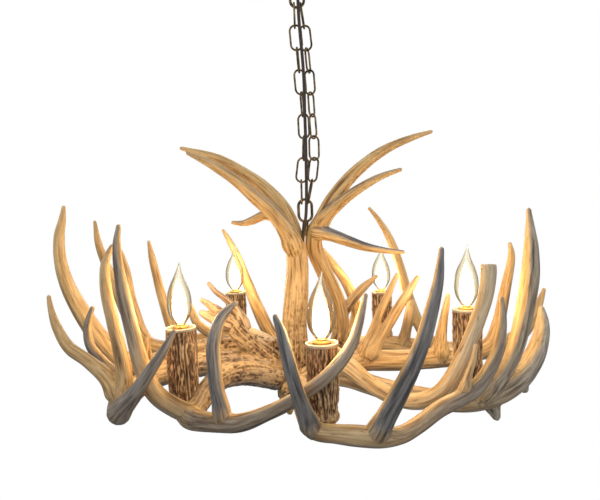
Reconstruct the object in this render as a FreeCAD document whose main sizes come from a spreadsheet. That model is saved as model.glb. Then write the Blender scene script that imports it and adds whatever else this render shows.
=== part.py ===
import FreeCAD, Part

import math
import os

import Sketcher
from FreeCAD import Matrix, Placement, Rotation, Vector

# Five-light antler chandelier, in millimetres.
# Origin: centre of the ceiling face of the canopy. X to the right, Y away from the viewer, Z up.

doc = FreeCAD.newDocument("antler_chandelier")

# ---------------------------------------------------------------------------------------------
# Driving sizes
# ---------------------------------------------------------------------------------------------

SIZES = [
    # ceiling fitting
    ("crossbar_length", 100),
    ("crossbar_width", 18),
    ("crossbar_thickness", 2),
    ("crossbar_hole_spacing", 83),
    ("crossbar_hole_diameter", 4.6),
    ("nipple_diameter", 9.6),
    ("nipple_bore", 6.4),
    ("locknut_width", 14),
    ("locknut_height", 4),
    ("canopy_diameter", 125),
    ("canopy_height", 26),
    ("canopy_wall", 1.2),
    ("canopy_flat_diameter", 60),
    ("cord_hole_offset", 22),
    ("bushing_collar_diameter", 12),
    ("collar_diameter", 22),
    ("collar_height", 7),
    # rings, links and chain
    ("ring_wire", 4.5),
    ("canopy_ring_diameter", 24),
    ("top_link_length", 40),
    ("top_link_width", 26),
    ("chain_wire", 3.2),
    ("chain_link_width", 21),
    ("chain_gap", 0.6),
    ("eye_drop", 385),
    ("eye_length", 40),
    ("eye_width", 26),
    # power cord
    ("cord_diameter", 5),
    ("cord_hole_clearance", 0.3),
    # centre tie
    ("eye_boss_diameter", 10),
    ("eye_boss_length", 24),
    ("rod_diameter", 7),
    ("rod_clearance", 0.2),
    ("washer_diameter", 26),
    ("washer_thickness", 2),
    ("finial_diameter", 15),
    ("finial_length", 24),
    # lights
    ("seat_clearance", 0.3),
    ("socket_diameter", 18),
    ("socket_depth", 34),
    ("socket_bore", 13),
    ("socket_bore_depth", 20),
    ("socket_wall_gap", 0.4),
    ("flange_diameter", 23),
    ("flange_thickness", 2.5),
    ("wire_hole", 6),
    ("cap_thickness", 4.5),
    ("cap_overhang", 0.6),
    ("cap_round", 1.2),
    ("bulb_base_diameter", 12),
    ("bulb_base_length", 22),
    ("bulb_contact_diameter", 6),
    ("bulb_contact_length", 1.6),
    ("bulb_diameter", 35),
    ("bulb_glass_length", 80),
    ("bulb_glass_wall", 0.8),
    ("filament_diameter", 2.4),
    ("filament_length", 34),
    ("filament_spread", 5),
    # screws
    ("screw_diameter", 4),
    ("screw_head_diameter", 8),
    ("screw_head_height", 2.5),
    ("screw_sink", 3),
    ("screw_stop", 10),
    ("screw_fit", 0.15),
]

sheet = doc.addObject("Spreadsheet::Sheet", "Sizes")
for row, (alias, number) in enumerate(SIZES, start=1):
    sheet.set(f"A{row}", alias)
    sheet.set(f"B{row}", str(number))
    sheet.setAlias(f"B{row}", alias)
doc.recompute()


def size(alias):
    """One driving size from the sheet."""
    return float(sheet.get(alias))


GAP = size("seat_clearance")

# ---------------------------------------------------------------------------------------------
# Helpers
# ---------------------------------------------------------------------------------------------


def turned(label, outline, base, turn=None):
    """A lathe-turned piece: outline is a closed list of (radius, height) expressions."""
    body = doc.addObject("PartDesign::Body", label)
    sketch = body.newObject("Sketcher::SketchObject", label + "_section")
    plane = [f for f in body.Origin.OriginFeatures if f.Role == "XZ_Plane"][0]
    sketch.AttachmentSupport = [(plane, "")]
    sketch.MapMode = "FlatFace"
    points = [Vector(evaluate(r), evaluate(z), 0) for r, z in outline]
    count = len(points)
    for i in range(count):
        sketch.addGeometry(Part.LineSegment(points[i], points[(i + 1) % count]))
    for i in range(count):
        sketch.addConstraint(Sketcher.Constraint("Coincident", i, 2, (i + 1) % count, 1))
    for i, (radius, height) in enumerate(outline):
        bind(sketch, i, "DistanceX", radius, -2)
        bind(sketch, i, "DistanceY", height, -1)
    turning = body.newObject("PartDesign::Revolution", label + "_turning")
    turning.Profile = sketch
    turning.ReferenceAxis = (sketch, ["V_Axis"])
    turning.Angle = 360
    body.Placement = Placement(base, turn or Rotation())
    return body


def evaluate(expression):
    """The number that an expression on the sheet stands for."""
    return float(sheet.evalExpression(expression))


def bind(sketch, line, kind, expression, axis):
    """Holds the start of a sketch line at a distance from the origin, or on the axis at zero."""
    if expression == "0":
        sketch.addConstraint(Sketcher.Constraint("PointOnObject", line, 1, axis))
        return
    number = sketch.addConstraint(Sketcher.Constraint(kind, -1, 1, line, 1, evaluate(expression)))
    sketch.setExpression(f"Constraints[{number}]", expression.replace("Sizes.", "<<Sizes>>."))


def cylinder(label, diameter, height, base, turn=None):
    """A cylinder whose diameter and height are expressions on the sheet."""
    piece = doc.addObject("Part::Cylinder", label)
    piece.setExpression("Radius", f"({diameter}) / 2")
    piece.setExpression("Height", height)
    piece.Placement = Placement(base, turn or Rotation())
    return piece


def fused(label, first, second):
    """The union of two pieces."""
    piece = doc.addObject("Part::Fuse", label)
    piece.Base = first
    piece.Tool = second
    return piece


def cut(label, first, second):
    """The first piece less the second."""
    piece = doc.addObject("Part::Cut", label)
    piece.Base = first
    piece.Tool = second
    return piece


def feature(label, shape):
    """A piece whose shape is made here."""
    piece = doc.addObject("Part::Feature", label)
    piece.Shape = shape
    return piece


def largest_solid(shape):
    """The main solid of a cut result."""
    return max(shape.Solids, key=lambda solid: solid.Volume)


def link_shape(length, width, wire):
    """An oval link of round wire in the XZ plane, centred on the origin."""
    bend = (width - wire) / 2
    half = (length - width) / 2
    top, bottom = Vector(0, 0, half), Vector(0, 0, -half)
    left, right = Vector(-bend, 0, 0), Vector(bend, 0, 0)
    path = Part.Wire(
        [
            Part.LineSegment(right + bottom, right + top).toShape(),
            Part.Arc(right + top, top + Vector(0, 0, bend), left + top).toShape(),
            Part.LineSegment(left + top, left + bottom).toShape(),
            Part.Arc(left + bottom, bottom - Vector(0, 0, bend), right + bottom).toShape(),
        ]
    )
    section = Part.Wire(Part.makeCircle(wire / 2, right + bottom, Vector(0, 0, 1)))
    return path.makePipeShell([section], True, False)


def rod_between(start, end, radius):
    """A round bar from one point to another."""
    along = end - start
    return Part.makeCylinder(radius, along.Length, start, along)


# ---------------------------------------------------------------------------------------------
# Ceiling fitting
# ---------------------------------------------------------------------------------------------

CANOPY_FACE = -size("canopy_height")
COLLAR_FACE = CANOPY_FACE - size("collar_height")
RING_MID = (size("canopy_ring_diameter") - size("ring_wire")) / 2
RING_CENTRE = COLLAR_FACE - RING_MID
RING_BAR = RING_CENTRE - RING_MID
CORD_TOP = Vector(2, -size("cord_hole_offset"), CANOPY_FACE + 2)


def make_crossbar():
    """Flat bar that screws to the ceiling box and holds the threaded nipple."""
    bar = doc.addObject("Part::Box", "crossbar_blank")
    bar.setExpression("Length", "<<Sizes>>.crossbar_length")
    bar.setExpression("Width", "<<Sizes>>.crossbar_width")
    bar.setExpression("Height", "<<Sizes>>.crossbar_thickness")
    bar.setExpression("Placement.Base.x", "-<<Sizes>>.crossbar_length / 2")
    bar.setExpression("Placement.Base.y", "-<<Sizes>>.crossbar_width / 2")
    bar.setExpression("Placement.Base.z", "-<<Sizes>>.crossbar_thickness")
    piece = bar
    depth = "<<Sizes>>.crossbar_thickness * 3"
    for side, sign in (("left", -1), ("right", 1)):
        hole = cylinder(f"crossbar_hole_{side}", "<<Sizes>>.crossbar_hole_diameter", depth, Vector())
        hole.setExpression("Placement.Base.x", f"{sign} * <<Sizes>>.crossbar_hole_spacing / 2")
        hole.setExpression("Placement.Base.z", "-2 * <<Sizes>>.crossbar_thickness")
        piece = cut(f"crossbar_drilled_{side}", piece, hole)
    middle = cylinder("crossbar_nipple_hole", "<<Sizes>>.nipple_diameter", depth, Vector())
    middle.setExpression("Placement.Base.z", "-2 * <<Sizes>>.crossbar_thickness")
    return cut("crossbar", piece, middle)


def make_nipple():
    """Hollow threaded tube from the crossbar down into the ring's collar."""
    length = "<<Sizes>>.canopy_height + <<Sizes>>.collar_height / 2 - 0.5"
    tube = cylinder("nipple_tube", "<<Sizes>>.nipple_diameter", length, Vector())
    bore = cylinder("nipple_hole", "<<Sizes>>.nipple_bore", length, Vector())
    for piece in (tube, bore):
        piece.setExpression("Placement.Base.z", f"-0.5 - ({length})")
    return cut("nipple", tube, bore)


def make_locknut():
    """Hexagonal nut on the nipple, under the crossbar."""
    nut = doc.addObject("Part::Prism", "locknut_blank")
    nut.Polygon = 6
    nut.setExpression("Circumradius", "<<Sizes>>.locknut_width / 2 / cos(30)")
    nut.setExpression("Height", "<<Sizes>>.locknut_height")
    hole = cylinder("locknut_hole", "<<Sizes>>.nipple_diameter", "<<Sizes>>.locknut_height", Vector())
    for piece in (nut, hole):
        piece.setExpression("Placement.Base.z", "-<<Sizes>>.crossbar_thickness - <<Sizes>>.locknut_height")
    return cut("nipple_locknut", nut, hole)


def make_canopy():
    """Domed steel cover against the ceiling."""
    outer = "Sizes.canopy_diameter / 2"
    flat = "Sizes.canopy_flat_diameter / 2"
    wall = "Sizes.canopy_wall"
    tall = "Sizes.canopy_height"
    hole = "Sizes.nipple_diameter / 2 + 0.3"
    dome = turned(
        "canopy_dome",
        [
            (hole, "0"),
            (flat, "0"),
            (f"{outer} - 9", f"{tall} * 0.32"),
            (f"{outer} - 2", f"{tall} * 0.7"),
            (outer, tall),
            (f"{outer} - {wall}", tall),
            (f"{outer} - 2 - {wall}", f"{tall} * 0.7 + {wall} * 0.4"),
            (f"{outer} - 9 - {wall} * 0.8", f"{tall} * 0.32 + {wall} * 0.8"),
            (flat, wall),
            (hole, wall),
        ],
        Vector(0, 0, CANOPY_FACE),
    )
    hole_size = "<<Sizes>>.cord_diameter + 4.6"
    opening = cylinder("canopy_cord_hole", hole_size, "<<Sizes>>.canopy_wall * 3", Vector())
    opening.Placement.Base = Vector(CORD_TOP.x, CORD_TOP.y, CANOPY_FACE - size("canopy_wall"))
    return cut("canopy", dome, opening)


def make_bushing():
    """Smooth collar that the cord goes up through."""
    bore = "Sizes.cord_diameter / 2 + Sizes.cord_hole_clearance"
    neck = "Sizes.cord_diameter / 2 + 2"
    collar = "Sizes.bushing_collar_diameter / 2"
    return turned(
        "cord_bushing",
        [
            (bore, "0"),
            (f"{collar} - 1", "0"),
            (collar, "1"),
            (collar, "2"),
            (neck, "2"),
            (neck, "Sizes.canopy_wall + 5"),
            (bore, "Sizes.canopy_wall + 5"),
        ],
        Vector(CORD_TOP.x, CORD_TOP.y, CANOPY_FACE - 2),
    )


def make_canopy_loop():
    """Threaded collar that clamps the canopy, with the ring that the chain hangs from."""
    collar = turned(
        "collar",
        [
            ("0", "0"),
            ("Sizes.collar_diameter / 2 - 2", "0"),
            ("Sizes.collar_diameter / 2", "2"),
            ("Sizes.collar_diameter / 2", "Sizes.collar_height"),
            ("Sizes.nipple_diameter / 2", "Sizes.collar_height"),
            ("Sizes.nipple_diameter / 2", "Sizes.collar_height / 2"),
            ("0", "Sizes.collar_height / 2"),
        ],
        Vector(0, 0, COLLAR_FACE),
    )
    ring = doc.addObject("Part::Torus", "canopy_ring")
    ring.setExpression("Radius1", "(<<Sizes>>.canopy_ring_diameter - <<Sizes>>.ring_wire) / 2")
    ring.setExpression("Radius2", "<<Sizes>>.ring_wire / 2")
    ring.Placement = Placement(Vector(0, 0, RING_CENTRE), Rotation(Vector(0, 1, 0), 90))
    return fused("canopy_loop", collar, ring)


# ---------------------------------------------------------------------------------------------
# Chain and cord
# ---------------------------------------------------------------------------------------------

# Each strand's line from the top down: how far to the right of the middle its joints hang, between its
# two ends, and how many degrees each of its links is turned away from facing the viewer.
LEFT_JOINTS = [-5, -3, -1, 1, 2.5, 3, 1, -4.5]
LEFT_TURNS = [90, -4, 84, 20, 100, -22, 80, 6, 90]
RIGHT_JOINTS = [9.5, 12.5, 14.5, 16, 17, 18.5, 18, 13]
RIGHT_TURNS = [90, -20, 70, -35, 60, -60, 30, -40, 84]
LINKS = len(LEFT_TURNS)
STRAND_SIDE = 5
STRAND_DEPTH = 2.3

TOP_BAR = RING_BAR + size("ring_wire") + size("chain_gap")
LOWER_BAR = TOP_BAR - size("top_link_length") + size("ring_wire")
EYE_BAR = -size("eye_drop")


def seat_rise():
    """How far up the curve of a link's end a strand hangs, being off to one side of its middle."""
    room = (size("top_link_width") - 2 * size("ring_wire") - size("chain_wire")) / 2
    return room - math.sqrt(room**2 - STRAND_SIDE**2)


def make_top_link():
    """Heavy oval link between the canopy ring and the two chain strands."""
    shape = link_shape(size("top_link_length"), size("top_link_width"), size("ring_wire"))
    shape.translate(Vector(0, 0, (TOP_BAR + LOWER_BAR) / 2))
    return feature("top_link", shape)


def make_strand(label, side, hangs, turns):
    """One strand of oval links along its own line, each turned about a quarter from the last."""
    hold = size("ring_wire") / 2 + seat_rise() + size("chain_gap")
    top = LOWER_BAR + hold
    pitch = (top - (EYE_BAR - hold) - size("chain_gap")) / LINKS
    end = side * STRAND_SIDE
    joints = []
    for i, across in enumerate([end] + hangs + [end]):
        depth = 0 if i in (0, LINKS) else side * STRAND_DEPTH
        joints.append(Vector(across, depth, top - pitch * i))
    links = []
    for i in range(LINKS):
        up = joints[i] - joints[i + 1]
        inside = up.Length + size("chain_gap")
        up.normalize()
        link = link_shape(inside + 2 * size("chain_wire"), size("chain_link_width"), size("chain_wire"))
        twist = Rotation(Vector(0, 0, 1), turns[i])
        lean = Rotation(Vector(0, 0, 1), up)
        link.Placement = Placement(joints[i] - up * inside / 2, lean.multiply(twist))
        links.append(link)
    return feature(label, Part.makeCompound(links))


# The cord's route: down from the canopy, in front of the chain, into the fork of the crown antlers.
CORD_ROUTE = [
    CORD_TOP,
    Vector(2, -22, -50),
    Vector(1, -20, -82),
    Vector(2, -18, -122),
    Vector(5, -16.5, -166),
    Vector(6, -16, -206),
    Vector(5, -16, -246),
    Vector(5, -15.5, -290),
    Vector(4, -15, -335),
    Vector(3, -13.5, -378),
    Vector(1, -11, -412),
    Vector(-4, -9, -436),
    Vector(-8, -6, -458),
]


def rounded_route(points):
    """Straight runs joined by tangent arcs as large as the runs allow."""
    edges = []
    radii = []
    here = points[0]
    for before, corner, after in zip(points, points[1:], points[2:]):
        back = before - corner
        ahead = after - corner
        turn = math.pi - back.getAngle(ahead)
        reach = 0.45 * min(back.Length, ahead.Length)
        radii.append(reach / math.tan(turn / 2))
        back.normalize()
        ahead.normalize()
        start = corner + back * reach
        end = corner + ahead * reach
        bisector = back + ahead
        bisector.normalize()
        sagitta = radii[-1] * (1 / math.cos(turn / 2) - 1)
        edges.append(Part.LineSegment(here, start).toShape())
        edges.append(Part.Arc(start, corner + bisector * sagitta, end).toShape())
        here = end
    edges.append(Part.LineSegment(here, points[-1]).toShape())
    return Part.Wire(edges), radii


def make_cord():
    """Round power cord."""
    path, radii = rounded_route(CORD_ROUTE)
    start = CORD_ROUTE[1] - CORD_ROUTE[0]
    section = Part.Wire(Part.makeCircle(size("cord_diameter") / 2, CORD_ROUTE[0], start))
    shape = path.makePipeShell([section], True, False)
    plain = math.pi * (size("cord_diameter") / 2) ** 2 * path.Length
    print("cord radii", [round(radius) for radius in radii])
    print("cord length %.1f, volume over section times length %.4f" % (path.Length, shape.Volume / plain))
    return feature("power_cord", shape)


# ---------------------------------------------------------------------------------------------
# Antlers: each branch is a run of (x, y, z, radius) from its base to its tip
# ---------------------------------------------------------------------------------------------

ANTLERS = {
    "crown_left_antler": [
        [(-36, 0, -712, 21), (-32, 0, -682, 25), (-28, 0, -634, 23), (-25, 0, -584, 19.5),
         (-19, 0, -532, 19), (-16, 0, -486, 17.5), (-20, 4, -450, 16.5), (-33, 12, -406, 13.5),
         (-60, 18, -370, 12), (-97, 24, -340, 10.5), (-145, 28, -311, 8), (-203, 30, -291, 2)],
        [(-19, -4, -469, 14), (-29, -10, -439, 13), (-50, -14, -406, 11.5), (-77, -16, -380, 10.5),
         (-112, -16, -348, 8.5), (-148, -14, -323, 6.5), (-184, -12, -304, 2)],
        [(-48, 8, -410, 7.5), (-68, 22, -408, 6.5), (-89, 30, -416, 6.5), (-106, 34, -420, 4.5),
         (-125, 36, -418, 2)],
    ],
    "crown_right_antler": [
        [(27, 30, -661, 12.5), (47, 36, -629, 13.5), (54, 36, -595, 13.5), (50, 34, -563, 13.5),
         (39, 30, -531, 13.5), (24, 26, -497, 13.5), (13, 18, -466, 14), (13, 8, -442, 14.5),
         (23, 2, -422, 12), (44, 0, -388, 12), (75, 4, -352, 10.5), (105, 8, -327, 9),
         (140, 12, -306, 7), (177, 14, -292, 5), (213, 16, -282, 2)],
        [(21, 0, -429, 11), (39, -12, -407, 10.5), (63, -18, -387, 8.5), (89, -22, -370, 7),
         (121, -25, -354, 5), (154, -26, -344, 2)],
        [(13, 4, -437, 11), (36, -14, -442, 10), (64, -24, -453, 8.5), (91, -30, -463, 6.5),
         (122, -34, -470, 4.5), (153, -36, -474, 2)],
        [(53, 36, -581, 9.5), (73, 44, -561, 8), (96, 50, -538, 6.5), (122, 54, -519, 2)],
    ],
    "front_left_antler": [
        [(-55, -22, -670, 19.5), (-97, -50, -652, 18.5), (-133, -85, -646, 17), (-152, -114, -656, 15),
         (-172, -144, -677, 13.5), (-201, -158, -659, 13), (-220, -168, -634, 12), (-231, -172, -597, 11),
         (-241, -170, -553, 9.5), (-250, -166, -508, 8.5), (-257, -160, -466, 6.5), (-259, -154, -436, 5),
         (-256, -150, -412, 2)],
        [(-185, -147, -676, 12.5), (-161, -158, -685, 12.5), (-125, -180, -682, 12.5),
         (-95, -202, -674, 11.5), (-59, -232, -652, 9.5), (-29, -256, -631, 8.5), (-11, -268, -616, 8),
         (11, -276, -598, 7.5), (31, -275, -579, 7.5), (45, -266, -562, 6.5), (54, -256, -544, 5.5),
         (61, -248, -524, 4), (67, -240, -505, 1.5)],
        [(-122, -184, -679, 10), (-125, -186, -654, 9.5), (-129, -186, -629, 9.5),
         (-131, -184, -601, 9.5), (-131, -180, -573, 9), (-123, -174, -546, 7.5), (-111, -170, -531, 5.5),
         (-98, -166, -521, 1.5)],
    ],
    "left_antler": [
        [(-67, -14, -655, 16), (-115, -22, -641, 17), (-170, -28, -641, 17.5), (-212, -36, -647, 17.5),
         (-245, -56, -651, 17), (-263, -92, -656, 17), (-270, -130, -661, 18), (-268, -160, -668, 17),
         (-255, -182, -654, 14), (-231, -198, -628, 10), (-207, -206, -596, 7), (-191, -204, -574, 5.5),
         (-177, -198, -550, 1.5)],
        [(-268, -158, -652, 11.5), (-282, -160, -620, 10.5), (-308, -156, -596, 8.5),
         (-336, -148, -578, 8), (-353, -142, -551, 6.5), (-362, -136, -527, 4), (-366, -132, -506, 1.5)],
        [(-266, -160, -657, 11.5), (-259, -158, -624, 10.5), (-265, -150, -587, 9.5),
         (-275, -142, -546, 8.5), (-284, -134, -506, 8), (-286, -128, -472, 6.5), (-282, -124, -454, 4.5),
         (-275, -122, -440, 2)],
        [(-270, -150, -623, 6), (-292, -140, -603, 6.5), (-312, -130, -583, 6.5), (-318, -124, -560, 5.5),
         (-315, -121, -542, 4), (-309, -119, -526, 2)],
    ],
    "left_back_antler": [
        [(-68, 16, -636, 18.5), (-125, 24, -628, 19.5), (-189, 22, -633, 20), (-242, 6, -644, 20),
         (-277, -16, -643, 18.5), (-305, -38, -623, 16.5), (-331, -52, -582, 14.5), (-353, -56, -540, 12.5),
         (-372, -52, -499, 10.5), (-382, -46, -461, 9), (-384, -38, -427, 8), (-380, -32, -401, 5.5),
         (-378, -28, -381, 2)],
        [(-261, -34, -632, 6.5), (-258, -38, -607, 4.5), (-253, -42, -584, 2)],
    ],
    "front_antler": [
        [(-23, -28, -674, 14.5), (-18, -80, -670, 15), (-14, -160, -667, 14.5), (-8, -236, -666, 13),
         (2, -258, -668, 12), (24, -268, -668, 11.5), (49, -272, -670, 12.5), (75, -270, -674, 12),
         (101, -262, -675, 10.5), (125, -248, -669, 10), (157, -228, -657, 10), (187, -210, -651, 10.5),
         (211, -198, -642, 10), (229, -188, -627, 9), (245, -178, -605, 8), (254, -172, -581, 6.5),
         (259, -166, -554, 4.5), (260, -160, -529, 1.5)],
        [(-5, -256, -667, 11.5), (-13, -276, -637, 9.5), (-21, -289, -608, 8), (-27, -290, -583, 7.5),
         (-32, -286, -560, 7), (-37, -280, -539, 5.5), (-41, -277, -528, 3.5), (-44, -275, -520, 1.5)],
        [(68, -270, -674, 11.5), (85, -280, -639, 11.5), (98, -285, -614, 11), (112, -287, -586, 10),
         (125, -290, -554, 9), (136, -282, -525, 8), (146, -274, -496, 6.5), (151, -268, -475, 5),
         (155, -262, -452, 2)],
        [(190, -208, -651, 7.5), (198, -204, -628, 5), (208, -200, -604, 4), (213, -197, -583, 1.5)],
    ],
    "right_front_antler": [
        [(18, -26, -620, 14.5), (53, -60, -641, 14), (80, -98, -658, 12), (106, -128, -669, 11.5),
         (136, -150, -673, 11.5), (163, -166, -663, 11.5), (183, -170, -643, 11), (204, -168, -606, 10),
         (222, -163, -569, 10), (238, -156, -533, 10), (246, -150, -502, 10.5), (247, -148, -486, 10.5)],
    ],
    "right_antler": [
        [(13, -22, -663, 16), (59, -45, -668, 15.5), (110, -70, -680, 15.5), (159, -92, -687, 15),
         (200, -106, -690, 16), (235, -112, -687, 18), (272, -104, -679, 19), (308, -88, -665, 18),
         (337, -68, -644, 16), (357, -50, -618, 13), (365, -40, -592, 9.5), (366, -34, -568, 3)],
        [(241, -118, -683, 14.5), (263, -122, -659, 13), (284, -118, -632, 11.5), (299, -112, -602, 12),
         (313, -104, -560, 13), (324, -96, -514, 13), (328, -92, -474, 10.5), (328, -89, -443, 6.5),
         (327, -87, -412, 2)],
        [(256, -102, -680, 16), (263, -104, -701, 10.5), (269, -106, -719, 5)],
        [(297, -92, -661, 15), (310, -90, -674, 9), (318, -90, -684, 5)],
    ],
    "right_back_antler": [
        [(-43, -30, -689, 13.5), (-10, -38, -668, 16), (29, -34, -651, 16), (81, -24, -647, 16.5),
         (145, -8, -653, 16.5), (214, 8, -656, 16), (268, 20, -655, 14.5), (304, 26, -640, 12.5),
         (319, 26, -603, 10.5), (327, 22, -559, 9), (336, 18, -512, 7), (338, 15, -488, 5.5),
         (334, 12, -468, 2)],
        [(213, 4, -655, 14), (214, 0, -622, 10), (219, -3, -589, 6.5), (224, -4, -564, 5),
         (227, -5, -546, 2)],
        [(81, -28, -638, 9.5), (97, -26, -607, 8), (115, -20, -568, 7), (131, -14, -536, 5),
         (145, -10, -509, 2)],
        [(90, -34, -640, 9.5), (117, -34, -598, 8.5), (140, -30, -564, 7.5), (159, -26, -537, 6),
         (176, -22, -513, 2)],
    ],
    "cross_antler": [
        [(-52, 0, -657, 16.5), (-80, -8, -632, 16.5), (-106, -14, -606, 14.5), (-128, -20, -579, 12),
         (-148, -26, -555, 8), (-171, -30, -536, 2)],
        [(-125, -20, -583, 10.5), (-147, -28, -571, 8.5), (-162, -32, -562, 6.5), (-172, -34, -556, 4)],
        [(-104, -10, -592, 9.5), (-116, -6, -563, 6.5), (-135, -4, -542, 5), (-150, -4, -529, 4),
         (-163, -4, -512, 2)],
    ],
    "back_left_antler": [
        [(-59, 40, -636, 14.5), (-87, 85, -635, 17), (-118, 130, -631, 17.5), (-149, 168, -634, 17.5),
         (-203, 186, -649, 16.5), (-255, 186, -661, 16.5), (-295, 174, -659, 16), (-323, 152, -633, 15),
         (-339, 134, -581, 12), (-353, 118, -525, 9.5), (-365, 108, -482, 7.5), (-373, 102, -445, 6),
         (-376, 100, -407, 2)],
        [(-316, 156, -642, 10.5), (-328, 160, -596, 9), (-338, 164, -553, 7.5), (-344, 166, -503, 5.5),
         (-353, 166, -464, 2)],
        [(-254, 184, -661, 11), (-268, 176, -619, 9), (-281, 178, -566, 8.5), (-290, 178, -522, 7.5),
         (-297, 176, -481, 6), (-301, 174, -450, 2)],
        [(-161, 172, -640, 11.5), (-189, 164, -631, 9.5), (-210, 146, -609, 8.5), (-223, 148, -577, 6.5),
         (-231, 148, -546, 2)],
    ],
    "back_antler": [
        [(-18, 30, -641, 15.5), (-10, 90, -657, 17.5), (-6, 160, -675, 18), (-6, 215, -689, 17.5),
         (24, 248, -698, 16.5), (60, 256, -686, 14.5), (88, 252, -655, 13), (101, 246, -616, 11.5),
         (84, 236, -562, 10), (57, 226, -517, 8), (33, 218, -479, 2)],
        [(-10, 205, -682, 15), (-48, 240, -684, 15.5), (-78, 252, -659, 15), (-102, 252, -605, 13),
         (-122, 248, -547, 10.5), (-140, 244, -491, 8), (-155, 241, -457, 5.5), (-166, 239, -436, 2)],
        [(-10, 205, -686, 12), (-18, 225, -656, 10), (-20, 236, -606, 8), (-18, 240, -555, 5),
         (-15, 240, -520, 2)],
    ],
    "back_right_antler": [
        [(13, 40, -645, 16), (59, 80, -654, 18.5), (105, 130, -661, 20), (146, 166, -669, 20),
         (206, 176, -680, 19.5), (271, 164, -685, 18.5), (324, 136, -679, 17), (361, 112, -663, 15.5),
         (383, 92, -637, 13), (399, 82, -609, 9.5), (410, 78, -580, 6.5), (418, 76, -556, 2)],
        [(245, 168, -683, 11.5), (214, 156, -636, 10.5), (197, 160, -590, 10), (187, 162, -551, 9),
         (175, 162, -505, 8), (159, 160, -460, 6.5), (139, 158, -425, 4.5), (122, 156, -403, 2)],
        [(176, 170, -675, 10.5), (184, 162, -652, 9.5), (190, 148, -614, 9), (197, 156, -585, 7.5)],
    ],
}

# Which antler is left whole where two meet: the later one in this list is notched to fit.
WHOLE_FIRST = [
    "crown_left_antler", "front_antler", "front_left_antler", "right_antler", "left_back_antler",
    "right_back_antler", "left_antler", "right_front_antler", "crown_right_antler", "cross_antler",
    "back_left_antler", "back_right_antler", "back_antler",
]


def branch_shape(run, swell):
    """A tapering round branch lofted through circles square to its line."""
    line = Part.BSplineCurve()
    line.interpolate([Vector(x, y, z) for x, y, z, _ in run])
    knots = [line.parameter(Vector(x, y, z)) for x, y, z, _ in run]
    stations = []
    for i, point in enumerate(run):
        stations.append((knots[i], point[3]))
        if i + 1 < len(run):
            stations.append(((knots[i] + knots[i + 1]) / 2, (point[3] + run[i + 1][3]) / 2))
    across = None
    circles = []
    for at, radius in stations:
        along = line.tangent(at)[0]
        if across is None:
            across = along.cross(Vector(0, 0, 1) if abs(along.z) < 0.9 else Vector(1, 0, 0))
        across = across - along * across.dot(along)
        across.normalize()
        beside = along.cross(across)
        middle = line.value(at)
        frame = Matrix(
            across.x, beside.x, along.x, middle.x,
            across.y, beside.y, along.y, middle.y,
            across.z, beside.z, along.z, middle.z,
            0, 0, 0, 1,
        )
        circle = Part.Wire(Part.makeCircle(radius + swell))
        circle.Placement = Placement(frame)
        circles.append(circle)
    return Part.makeLoft(circles, True, False)


def antler_shape(runs, swell=0.0):
    """A whole antler: its beam with its tines grown onto it."""
    shape = branch_shape(runs[0], swell)
    tines = [branch_shape(run, swell) for run in runs[1:]]
    if tines:
        shape = shape.fuse(tines)
    return largest_solid(shape)


# ---------------------------------------------------------------------------------------------
# Lights: axis x and y, height of the sleeve's top and foot, sleeve radius, the antler it stands on
# ---------------------------------------------------------------------------------------------

LIGHTS = {
    "front": (11, -245, -567, -662, 19.8, "front_antler"),
    "left": (-186, -120, -566, -684, 21.5, "front_left_antler"),
    "right": (231, -95, -560, -681, 21, "right_antler"),
    "back_left": (-139, 175, -559, -626, 19.4, "back_left_antler"),
    "back_right": (143, 172, -569, -656, 18.8, "back_right_antler"),
}

# Share of the sleeve's radius at each share of its height, from the foot up: burr, waist, barrel.
SLEEVE_PROFILE = [(0.0, 0.68), (0.05, 0.77), (0.14, 0.76), (0.3, 0.9), (0.6, 1.0), (0.85, 0.98), (1.0, 0.94)]


def sleeve_blank(light):
    """The turned outside of a sleeve, before it is bored and notched."""
    x, y, top, foot, radius, _ = LIGHTS[light]
    height = top - foot
    side = Part.BSplineCurve()
    side.interpolate([Vector(radius * share, 0, foot + height * at) for at, share in SLEEVE_PROFILE])
    start = side.value(side.FirstParameter)
    end = side.value(side.LastParameter)
    low = Vector(0, 0, start.z)
    high = Vector(0, 0, end.z)
    outline = Part.Wire(
        [
            Part.LineSegment(low, start).toShape(),
            side.toShape(),
            Part.LineSegment(end, high).toShape(),
            Part.LineSegment(high, low).toShape(),
        ]
    )
    shape = Part.Face(outline).revolve(Vector(), Vector(0, 0, 1), 360)
    shape.translate(Vector(x, y, 0))
    return shape


def drilled(shape):
    """A piece with the screw holes that cross it."""
    for room in drillings:
        if shape.BoundBox.intersect(room.BoundBox):
            shape = largest_solid(shape.cut(room))
    return shape


def make_sleeve(light, seat):
    """Length of rough antler that stands on its beam and hides the lampholder."""
    x, y, top, foot, _, _ = LIGHTS[light]
    shape = sleeve_blank(light)
    bore = size("socket_diameter") / 2 + size("socket_wall_gap")
    depth = size("socket_depth")
    shape = shape.cut(Part.makeCylinder(bore, depth, Vector(x, y, top - depth)))
    shape = shape.cut(Part.makeCylinder(size("wire_hole") / 2, top - foot, Vector(x, y, foot)))
    return feature(f"{light}_sleeve", drilled(largest_solid(shape.cut(seat))))


def make_cap(light):
    """Pale ring on top of the sleeve."""
    x, y, top, _, radius, _ = LIGHTS[light]
    outer = radius + size("cap_overhang")
    thick = size("cap_thickness")
    hole = size("socket_diameter") / 2 + size("socket_wall_gap")
    disc = Part.makeCylinder(outer, thick, Vector(x, y, top))
    disc = disc.makeFillet(size("cap_round"), [edge for edge in disc.Edges if len(edge.Vertexes) == 1])
    disc = disc.cut(Part.makeCylinder(hole, thick, Vector(x, y, top)))
    return feature(f"{light}_cap", disc)


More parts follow.
